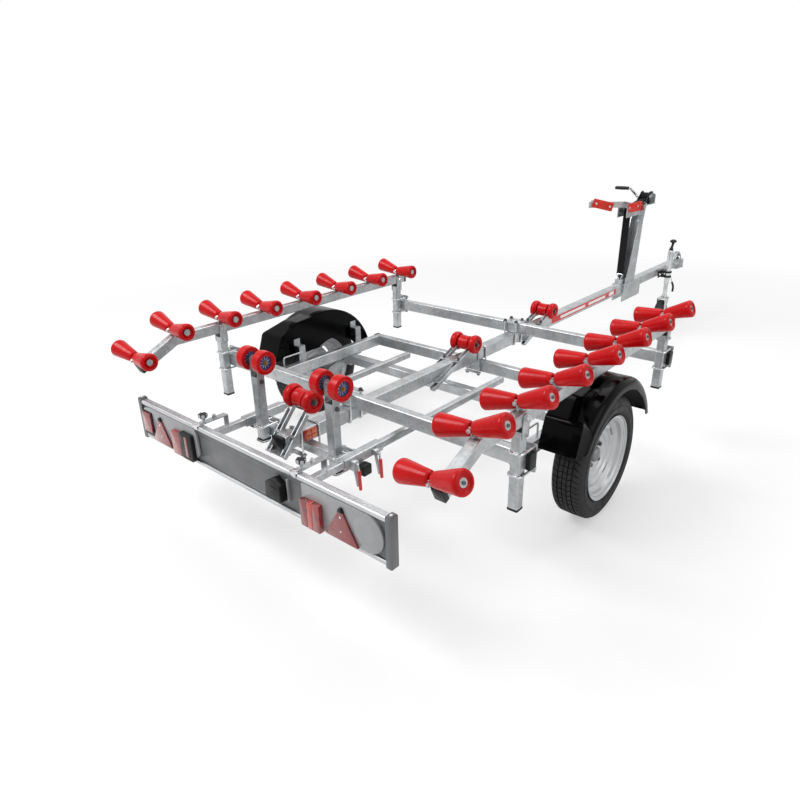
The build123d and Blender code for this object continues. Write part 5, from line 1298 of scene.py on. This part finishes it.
# %% Reflective stripe along the spine
STRIPE_FROM, STRIPE_TO = 1140, 2083
STRIPE_LOW, STRIPE_HIGH = SPINE_BOTTOM + 16, SPINE_TOP - 8
stripe = block((SPINE / 2 - 0.4, SPINE / 2 + 0.7), (STRIPE_FROM, STRIPE_TO), (STRIPE_LOW, STRIPE_HIGH), 0.2)
keep(stripe, "stripe_red", "trailer", stripe_red)
STRIPE_BARS = ((1250, 1590, 0.5), (1640, 1900, 0.5), (1960, 2040, 0.7))   # from, to, share of its height
stripe_z = (STRIPE_LOW + STRIPE_HIGH) / 2
bars = bmesh.new()
for y_from, y_to, share in STRIPE_BARS:
    half = (STRIPE_HIGH - STRIPE_LOW) / 2 * share
    rows = corners((y_from, y_to), (stripe_z - half, stripe_z + half), 6)
    join(bars, profile(rows, SPINE / 2 + 0.3, SPINE / 2 + 1.3))
keep(bars, "stripe_white", "trailer", pale_mark)
# %% [markdown]
# ## Winch
# The winch is a drum between two black plates with pointed tops, with a gear case on its right and a crank on
# its left. Its plates are outlines extruded by `profile`, because they were cut from sheet. The drum, its
# spacers and the coil of webbing are turned.

# %% Winch seat
_, (WINCH_REAR, WINCH_FRONT), (WINCH_LOW, _) = limits("winch_frame")
DRUM_Y, DRUM_Z = 2495, 1034
WINCH_TOP = 1068
SEAT_HALF, SEAT_THICK, SEAT_BOLT_X, SEAT_BOLT_IN = 48, 5, 40, 24
seat = bmesh.new()
join(seat, block((-SEAT_HALF, SEAT_HALF), (WINCH_REAR, WINCH_FRONT), (WINCH_LOW, WINCH_LOW + SEAT_THICK), 1.2))
for x in (-SEAT_BOLT_X, SEAT_BOLT_X):
    for y in (WINCH_REAR + SEAT_BOLT_IN, WINCH_FRONT - SEAT_BOLT_IN):
        join(seat, bolt(14, 0.3), at(x, y, WINCH_LOW + SEAT_THICK))
keep(seat, "winch_seat", "trailer", zinc, ["winch_frame"])

# %% Cheeks and drum
EAR = [(WINCH_REAR + 4, WINCH_LOW + 4, 3), (WINCH_FRONT - 4, WINCH_LOW + 4, 6), (DRUM_Y + 62, DRUM_Z + 4, 14),
       (DRUM_Y + 32, WINCH_TOP + 6, 10), (DRUM_Y + 10, WINCH_TOP + 6, 8), (DRUM_Y - 44, DRUM_Z + 4, 18)]
EAR_X, EAR_THICK = (-36, 31), 5
DRUM = [(-31, 0), (-31, 40, 1), (-27, 40, 1), (-27, 20), (27, 20), (27, 40, 1), (31, 40, 1), (31, 0)]
SPACER = [(-33, 0), (-33, 6), (33, 6), (33, 0)]
cheeks = bmesh.new()
for x in EAR_X:
    join(cheeks, profile(EAR, x, x + EAR_THICK, 1.2))
join(cheeks, turned(DRUM, 40), at(0, DRUM_Y, DRUM_Z))
for ahead in (46, -38):
    join(cheeks, turned(SPACER, 16), at(0, DRUM_Y + ahead, DRUM_Z - 24))
keep(cheeks, "winch_cheeks", "trailer", plain_black, ["winch_drum"])

# %% Webbing on the drum
drum_strap = bmesh.new()
join(drum_strap, turned([(-26, 20), (-26, 31, 4), (26, 31, 4), (26, 20)], 40), at(0, DRUM_Y, DRUM_Z))
keep(drum_strap, "strap_coil", "trailer", web_black)

# %% Gear case
CASE = [(DRUM_Y - 36, WINCH_LOW + 8, 10), (DRUM_Y + 46, WINCH_LOW + 8, 10), (DRUM_Y + 50, WINCH_TOP - 16, 14),
        (DRUM_Y + 4, WINCH_TOP - 6, 12), (DRUM_Y - 34, WINCH_TOP - 20, 14)]
CASE_X = (35, 55)
CASE_SCREWS = (  # y, z
    (DRUM_Y - 20, WINCH_LOW + 20),
    (DRUM_Y + 32, WINCH_LOW + 20),
    (DRUM_Y + 6, WINCH_TOP - 18),
)
gear = bmesh.new()
join(gear, profile(CASE, *CASE_X, 3))
for y, z in CASE_SCREWS:
    join(gear, turned([(0, 0), (0, 5), (3, 5, 1), (3, 0)], 16), at(CASE_X[1], y, z))
join(gear, turned([(0, 0), (0, 11), (4, 11, 2), (4, 0)], 28), at(CASE_X[1] - 0.5, DRUM_Y, DRUM_Z))
keep(gear, "winch_gear_case", "trailer", zinc_dark)

# %% [markdown]
# The crank is a flat arm on the drum's shaft with a loose grip at its end. The arm is a plate, drawn level
# from the shaft, turned by its slope and then stood upright, which is easier than working out its sloping
# corners.

# %% Crank
CRANK_X, CRANK_Y, CRANK_Z = -64, 2345, 1102
slope = math.degrees(math.atan2(CRANK_Z - DRUM_Z, CRANK_Y - DRUM_Y))
reach = math.hypot(CRANK_Z - DRUM_Z, CRANK_Y - DRUM_Y)
crank = bmesh.new()
join(crank, turned([(0, 0), (0, 12, 2), (28, 12, 2), (28, 0)], 28), at(CRANK_X, DRUM_Y, DRUM_Z))
arm = plate([(-14, -10, 8), (reach + 11, -9, 8), (reach + 11, 9, 8), (-14, 10, 8)], 6, 1.4)
bmesh.ops.rotate(arm, cent=(0, 0, 0), matrix=Matrix.Rotation(math.radians(slope), 3, "Z"), verts=arm.verts)
stand_up = Matrix(((0, 0, 1, CRANK_X * MM), (1, 0, 0, 0), (0, 1, 0, 0), (0, 0, 0, 1)))
join(crank, arm, Matrix.Translation((0, AXLE_Y + DRUM_Y * MM, DRUM_Z * MM)) @ stand_up)
join(crank, turned([(-8, 0), (-8, 6), (6, 6, 1), (6, 0)], 20), at(CRANK_X + 2, CRANK_Y, CRANK_Z))
keep(crank, "winch_crank_arm", "trailer", zinc_bright, ["winch_crank"])
CRANK_GRIP = [(0, 0), (0, 10, 4), (14, 11.5, 4), (60, 12.5, 6), (104, 10.5, 5), (104, 0)]
crank_grip = bmesh.new()
join(crank_grip, turned(CRANK_GRIP, 32), at(-170, CRANK_Y, CRANK_Z))
keep(crank_grip, "winch_crank_grip", "trailer", plain_black)
print("crank", round(reach), "mm long at", round(180 - slope), "degrees")

# %% [markdown]
# ## Bow stop and hook
# The bow rests between two red pads that stand in a V and also tip up at their outer ends. Each is a
# soft-edged plate with a steel strip behind it. The strap ends in a hook, drawn as the triangle of round bar
# that holds it.

# %% Bow pads
PAD_LONG, PAD_HIGH, PAD_THICK = 138, 58, 20
PAD_X, PAD_Y, PAD_Z, PAD_YAW, PAD_TIP = 112, 2030, 1015, 36, 13
PAD_END, PAD_BOLT_IN, BACKING_HALF, BACKING_THICK = PAD_LONG / 2, 22, 17, 4
pads, pad_bolts = bmesh.new(), bmesh.new()
for _, sign in SIDES:
    place = at(sign * PAD_X, PAD_Y, PAD_Z, (-sign * PAD_YAW, "Z"), (-sign * PAD_TIP, "Y"))
    face = corners((-PAD_END, PAD_END), (-PAD_HIGH / 2, PAD_HIGH / 2), 7)
    join(pads, plate(face, PAD_THICK, 3), place @ local(0, PAD_THICK / 2, 0, (90, "X")))
    for x in (-PAD_END + PAD_BOLT_IN, PAD_END - PAD_BOLT_IN):
        join(pad_bolts, turned([(0, 0), (0, 7.5, 1), (1.6, 7.5), (1.6, 0)], 24),
             place @ local(x, -PAD_THICK / 2 - 1, 0, (90, "Z")))
    backing = plate(corners((-PAD_END - 14, PAD_END - 8), (-BACKING_HALF, BACKING_HALF), 4), BACKING_THICK, 0.8)
    join(pad_bolts, backing, place @ local(0, PAD_THICK / 2 + BACKING_THICK, 0, (90, "X")))
keep(pads, "bow_pads", "trailer", bow_red, ["bow_stop_pads"], 30)
keep(pad_bolts, "bow_pad_fixings", "trailer", zinc_bright)

# %% Strap hook
HOOK_Y, HOOK_Z = 2190, 528
HOOK_LOOP = ((0, 0), (24, 0), (0, -52), (-24, 0), (0, 0))   # x and z from the strap's end
hook = bmesh.new()
join(hook, wire([spot(x, HOOK_Y, HOOK_Z + z) for x, z in HOOK_LOOP], 3.4, 8))
keep(hook, "strap_hook", "trailer", zinc_bright, ["winch_hook"])
# %% [markdown]
# ## Jockey wheel
# The jockey wheel is a tube that slides in a tube, held by a clamp and wound up and down by a crank on its
# top. Its tubes and its handle's boss are turned outlines, stood upright. They ride on three bodies, because
# the leg slides, the fork swivels under it and the wheel turns in the fork.

# %% Stand tube
JOCKEY_X, JOCKEY_Y = 85, 2960
STAND_TUBE = [(328, 17.2), (328, 20.5, 0.8), (588, 20.5, 1.5), (592, 15, 1), (592, 0), (576, 0), (576, 17.2)]
stand = bmesh.new()
join(stand, turned(STAND_TUBE, 40), at(JOCKEY_X, JOCKEY_Y, 0, UPRIGHT))
keep(stand, "stand_tube", "trailer", zinc_bright, ["jockey_tube"])

# %% Crank handle on the stand
KNOB_AHEAD = 22
HANDLE_BOSS = [(586, 0), (586, 17, 4), (606, 15, 6), (618, 9, 4), (618, 0)]
HANDLE_KNOB = [(628, 0), (628, 9, 3), (644, 9, 5), (655, 24, 3), (663, 26, 4), (673, 14, 5), (675, 0)]
handle_arm = [spot(JOCKEY_X, JOCKEY_Y - 4, 600), spot(JOCKEY_X, JOCKEY_Y + KNOB_AHEAD, 640)]
stand_handle = bmesh.new()
join(stand_handle, turned(HANDLE_BOSS, 32), at(JOCKEY_X, JOCKEY_Y, 0, UPRIGHT))
join(stand_handle, wire(handle_arm, 10, 4))
join(stand_handle, turned(HANDLE_KNOB, 36), at(JOCKEY_X, JOCKEY_Y + KNOB_AHEAD, 0, UPRIGHT))
keep(stand_handle, "stand_handle", "trailer", plain_black)

# %% Clamp round the stand
CLAMP_Z, CLAMP_HIGH, CLAMP_FACE, CLAMP_HALF = 400, 15, 37, 66
CLAMP_LEVELS = (CLAMP_Z - 22, CLAMP_Z + 14)
clamp = bmesh.new()
for z in CLAMP_LEVELS:
    ring = [(z, 21), (z, 29, 2), (z + CLAMP_HIGH, 29, 2), (z + CLAMP_HIGH, 21)]
    join(clamp, turned(ring, 36), at(JOCKEY_X, JOCKEY_Y, 0, UPRIGHT))
join(clamp, block((SPINE / 2, CLAMP_FACE), (JOCKEY_Y - CLAMP_HALF, JOCKEY_Y + CLAMP_HALF),
                  (CLAMP_LEVELS[0], CLAMP_LEVELS[1] + CLAMP_HIGH), 2))
for z in CLAMP_LEVELS:
    join(clamp, block((34, JOCKEY_X - 21), (JOCKEY_Y - 24, JOCKEY_Y + 24), (z, z + CLAMP_HIGH), 2))
keep(clamp, "stand_clamp", "trailer", plain_black, ["jockey_clamp"])

# %% Clamp lever
LEVER_POINTS = ((26, 404), (60, 396), (150, 300))        # ahead of the stand, z
LEVER_GRIP_POINTS = ((138, 312), (192, 262), (180, 225))
lever = bmesh.new()
join(lever, wire([spot(JOCKEY_X, JOCKEY_Y + ahead, z) for ahead, z in LEVER_POINTS], 4, 16))
for ahead in (-50, 50):
    join(lever, bolt(15, 0.5), at(CLAMP_FACE, JOCKEY_Y + ahead, CLAMP_Z + 3, (90, "Y")))
keep(lever, "stand_lever", "trailer", zinc_bright)
lever_grip = bmesh.new()
join(lever_grip, wire([spot(JOCKEY_X, JOCKEY_Y + ahead, z) for ahead, z in LEVER_GRIP_POINTS], 8.5, 26))
keep(lever_grip, "stand_lever_grip", "trailer", plain_black)

# %% Leg
LEG = [(220.5, 0), (220.5, 22, 1), (230, 22, 1), (231, 16.6), (484, 16.6, 1), (484, 0)]
leg = bmesh.new()
join(leg, turned(LEG, 36), at(JOCKEY_X, JOCKEY_Y, 0, UPRIGHT))
keep(leg, "leg_tube", "jockey_leg", zinc_bright, ["jockey_leg"])

# %% Fork
CASTOR_Y, CASTOR_R, CROWN_Z = JOCKEY_Y - 50, 100, 214
FORK_HALF, FORK_SHEET = 33, 4
FORK_SIDE = [(CASTOR_Y - 14, 96, 8), (CASTOR_Y + 14, 96, 8), (JOCKEY_Y + 20, CROWN_Z, 6),
             (JOCKEY_Y + 20, CROWN_Z + FORK_SHEET), (CASTOR_Y - 20, CROWN_Z + FORK_SHEET),
             (CASTOR_Y - 20, CROWN_Z, 6)]
FORK_BOSS = [(0, 0), (0, 16, 1), (FORK_SHEET, 16, 1), (FORK_SHEET, 0)]
fork = bmesh.new()
for x in (JOCKEY_X - FORK_HALF, JOCKEY_X + FORK_HALF - FORK_SHEET):
    join(fork, profile(FORK_SIDE, x, x + FORK_SHEET, 1))
    join(fork, turned(FORK_BOSS, 32), at(x, CASTOR_Y, CASTOR_R))
join(fork, block((JOCKEY_X - FORK_HALF, JOCKEY_X + FORK_HALF), (CASTOR_Y - 22, JOCKEY_Y + 22),
                 (CROWN_Z, 219.6), 2))
for way in (1, -1):
    join(fork, bolt(17, 0.4), at(JOCKEY_X + way * FORK_HALF, CASTOR_Y, CASTOR_R, (way * 90, "Y")))
keep(fork, "wheel_fork", "jockey_fork", zinc_bright, ["jockey_fork"])

# %% Jockey tyre and hub
SMALL_TYRE = [(-22, 62), (-24, 66, 2), (-25, 88, 8), (-18, CASTOR_R - 1, 7), (-1, CASTOR_R, 1),
              (1, CASTOR_R, 1), (18, CASTOR_R - 1, 7), (25, 88, 8), (24, 66, 2), (22, 62)]
SMALL_HUB = [(-23, 9), (-23, 17, 2), (-10, 20, 3), (-7, 52, 4), (-20, 58, 2), (-20, 64), (20, 64), (20, 58, 2),
             (7, 52, 4), (10, 20, 3), (23, 17, 2), (23, 9)]
small_tyre, small_hub = bmesh.new(), bmesh.new()
join(small_tyre, turned(SMALL_TYRE, 64), at(JOCKEY_X, CASTOR_Y, CASTOR_R))
keep(small_tyre, "stand_wheel_tyre", "jockey_wheel", tyre_black, ["jockey_wheel"])
join(small_hub, turned(SMALL_HUB, 48), at(JOCKEY_X, CASTOR_Y, CASTOR_R))
keep(small_hub, "stand_wheel_hub", "jockey_wheel", plain_black)

# %% [markdown]
# ## Coupling
# The coupling head is a casting that closes over the ball, with a lever on top that locks it. A casting has
# no sharp edge anywhere, so its blocks are bevelled by 5 to 9 mm, against 1 mm on a rolled or folded piece.

# %% Coupling head
HEAD_Y = 3470
HEAD_LOW, HEAD_HIGH = 372, 66
NECK_REAR, NECK_HALF, NECK_Z, NECK_BOLTS_Y = 3250, 30, 425, (3285, 3335)
HEAD = [(-30, HEAD_Y - 120, 4), (30, HEAD_Y - 120, 4), (34, HEAD_Y - 30, 10), (36, HEAD_Y + 8, 16),
        (20, HEAD_Y + 36, 16), (-20, HEAD_Y + 36, 16), (-36, HEAD_Y + 8, 16), (-34, HEAD_Y - 30, 10)]
BALL_RIM = [(0, 25.5), (0, 37, 4), (16, 37, 3), (16, 25.5)]
head = bmesh.new()
join(head, block((-NECK_HALF, NECK_HALF), (NECK_REAR, HEAD_Y - 60), (NECK_Z - 24, NECK_Z + 24), 5))
join(head, plate(HEAD, HEAD_HIGH, 9), at(0, 0, HEAD_LOW))
join(head, turned(BALL_RIM, 40), at(0, HEAD_Y, HEAD_LOW - 4, UPRIGHT))
for way in (-1, 1):
    for y in NECK_BOLTS_Y:
        join(head, bolt(18, 0.4), at(way * NECK_HALF, y, NECK_Z, (way * 90, "Y")))
keep(head, "coupling_casting", "trailer", cast_zinc, ["coupling_head"])

# %% Coupling lever and catch
LEVER_BARS = ((-8, 434), (-24, 474), (-80, 512), (-190, 470), (-205, 452))   # ahead of the ball, z
LEVER_SHELL = [(HEAD_Y - 22, 478, 5), (HEAD_Y - 80, 517, 12), (HEAD_Y - 190, 474, 8), (HEAD_Y - 188, 464, 3),
               (HEAD_Y - 82, 500, 10), (HEAD_Y - 30, 466, 3)]
coupling_lever = bmesh.new()
for x in (-12, 12):
    join(coupling_lever, wire([spot(x, HEAD_Y + ahead, z) for ahead, z in LEVER_BARS], 4.5, 22))
join(coupling_lever, profile(LEVER_SHELL, -15, 15, 1.5))
keep(coupling_lever, "coupling_lever", "trailer", cast_zinc, ["coupling_handle"])
catch = bmesh.new()
join(catch, block((-9, 9), (HEAD_Y - 66, HEAD_Y - 42), (438, 462), 3))
keep(catch, "coupling_catch", "trailer", plain_black)
# %% [markdown]
# ## Floor, light and camera
# The floor is plain and pale. Near the trailer it is a real matt surface, so that it takes the soft shadows,
# and further out it fades to the plain white of the background. Three large lamps stand in for a studio's
# soft boxes, and the world fills in from all round.

# %% Floor
FLOOR_HALF = 60.0
FLOOR_GLOW = 0.45        # share of plain white in the floor next to the trailer
FADE_FROM, FADE_TO = 2.2, 4.8   # metres from the middle between which the floor goes white
floor_mesh = bmesh.new()
bmesh.ops.create_grid(floor_mesh, x_segments=1, y_segments=1, size=FLOOR_HALF)
floor_data = bpy.data.meshes.new("floor")
floor_mesh.to_mesh(floor_data)
floor_mesh.free()
floor = bpy.data.objects.new("floor", floor_data)
bpy.context.scene.collection.objects.link(floor)

floor_paint = bpy.data.materials.new("studio_floor")
floor_paint.use_nodes = True
floor_tree = floor_paint.node_tree
floor_tree.nodes.clear()
floor_matt = add_node(floor_tree, "ShaderNodeBsdfDiffuse", inputs={"Color": srgb("#F6F6F6")})
floor_glow = add_node(floor_tree, "ShaderNodeEmission", inputs={"Color": (1, 1, 1, 1), "Strength": 1.0})
floor_place = add_node(floor_tree, "ShaderNodeTexCoord").outputs["Object"]
floor_away = add_node(floor_tree, "ShaderNodeVectorMath", {"operation": "LENGTH"}, {0: floor_place})
floor_fade = spread(floor_tree, floor_away.outputs["Value"], FLOOR_GLOW, 1.0, FADE_FROM, FADE_TO)
floor_ray = add_node(floor_tree, "ShaderNodeLightPath")
floor_seen = add_node(floor_tree, "ShaderNodeMath", {"operation": "MULTIPLY"}, {
    0: floor_fade, 1: floor_ray.outputs["Is Camera Ray"]})
floor_mix = add_node(floor_tree, "ShaderNodeMixShader", inputs={
    0: floor_seen.outputs["Value"], 1: floor_matt.outputs["BSDF"], 2: floor_glow.outputs["Emission"]})
add_node(floor_tree, "ShaderNodeOutputMaterial", inputs={"Surface": floor_mix.outputs["Shader"]})
floor_data.materials.append(floor_paint)
print("floor", 2 * FLOOR_HALF, "m wide")

# %% World
WORLD_LIGHT = 0.38       # what lights the trailer: the camera, glass and metal see plain white
world = bpy.data.worlds.new("studio")
bpy.context.scene.world = world
world.use_nodes = True
sky = world.node_tree
sky.nodes.clear()
rays = add_node(sky, "ShaderNodeLightPath")
looked_at = add_node(sky, "ShaderNodeMath", {"operation": "MAXIMUM"}, {
    0: rays.outputs["Is Camera Ray"], 1: rays.outputs["Is Transmission Ray"]})
seen = add_node(sky, "ShaderNodeMath", {"operation": "MAXIMUM"}, {
    0: looked_at.outputs["Value"], 1: rays.outputs["Is Glossy Ray"]})
strength = spread(sky, seen.outputs["Value"], WORLD_LIGHT, 1.0, 0.0, 1.0)
sky_light = add_node(sky, "ShaderNodeBackground", inputs={"Color": (1, 1, 1, 1), "Strength": strength})
add_node(sky, "ShaderNodeOutputWorld", inputs={"Surface": sky_light.outputs["Background"]})
print("world light", WORLD_LIGHT)

# %% Lamps
LAMP_AIM = Vector((0, 0, 0.4))
STUDIO_LAMPS = (  # name, place, width in metres, watts
    ("key", (-3.0, -4.5, 5.5), 3.4, 300),
    ("fill", (5.5, -1.0, 3.5), 4.0, 70),
    ("top", (0.5, 1.0, 6.0), 5.0, 168),
)
for name, place, width, watts in STUDIO_LAMPS:
    light = bpy.data.lights.new(name, "AREA")
    light.shape = "DISK"
    light.size = width
    light.energy = watts
    lamp = bpy.data.objects.new(name, light)
    lamp.location = place
    lamp.rotation_euler = (LAMP_AIM - Vector(place)).to_track_quat("-Z", "Y").to_euler()
    bpy.context.scene.collection.objects.link(lamp)
print("lamps:", len(STUDIO_LAMPS))

# %% [markdown]
# The camera stands behind the trailer on its right, 1.5 m up, and looks down across it through a 28 mm lens.
# Its turn is given by the right and the up of its view, and their cross product is the third axis.

# %% Camera
CAMERA_FROM_AXLE = Vector((1.771, -2.268, 1.527))
CAMERA_RIGHT = Vector((0.758, 0.653, -0.019))
CAMERA_UP = Vector((-0.246, 0.312, 0.918))
LENS_MM = 28.35
eye = bpy.data.objects.new("camera", bpy.data.cameras.new("camera"))
eye.data.lens = LENS_MM
eye.data.sensor_width = 36.0
right = CAMERA_RIGHT.normalized()
up = (CAMERA_UP - right * CAMERA_UP.dot(right)).normalized()
turn = Matrix((right, up, right.cross(up))).transposed().to_4x4()
eye.matrix_world = Matrix.Translation(CAMERA_FROM_AXLE + Vector((0, AXLE_Y, 0))) @ turn
bpy.context.scene.collection.objects.link(eye)
bpy.context.scene.camera = eye
bpy.context.scene.view_settings.view_transform = "Standard"
print("camera at", [round(v, 3) for v in eye.matrix_world.translation])

# %% The end
bpy.context.view_layer.update()
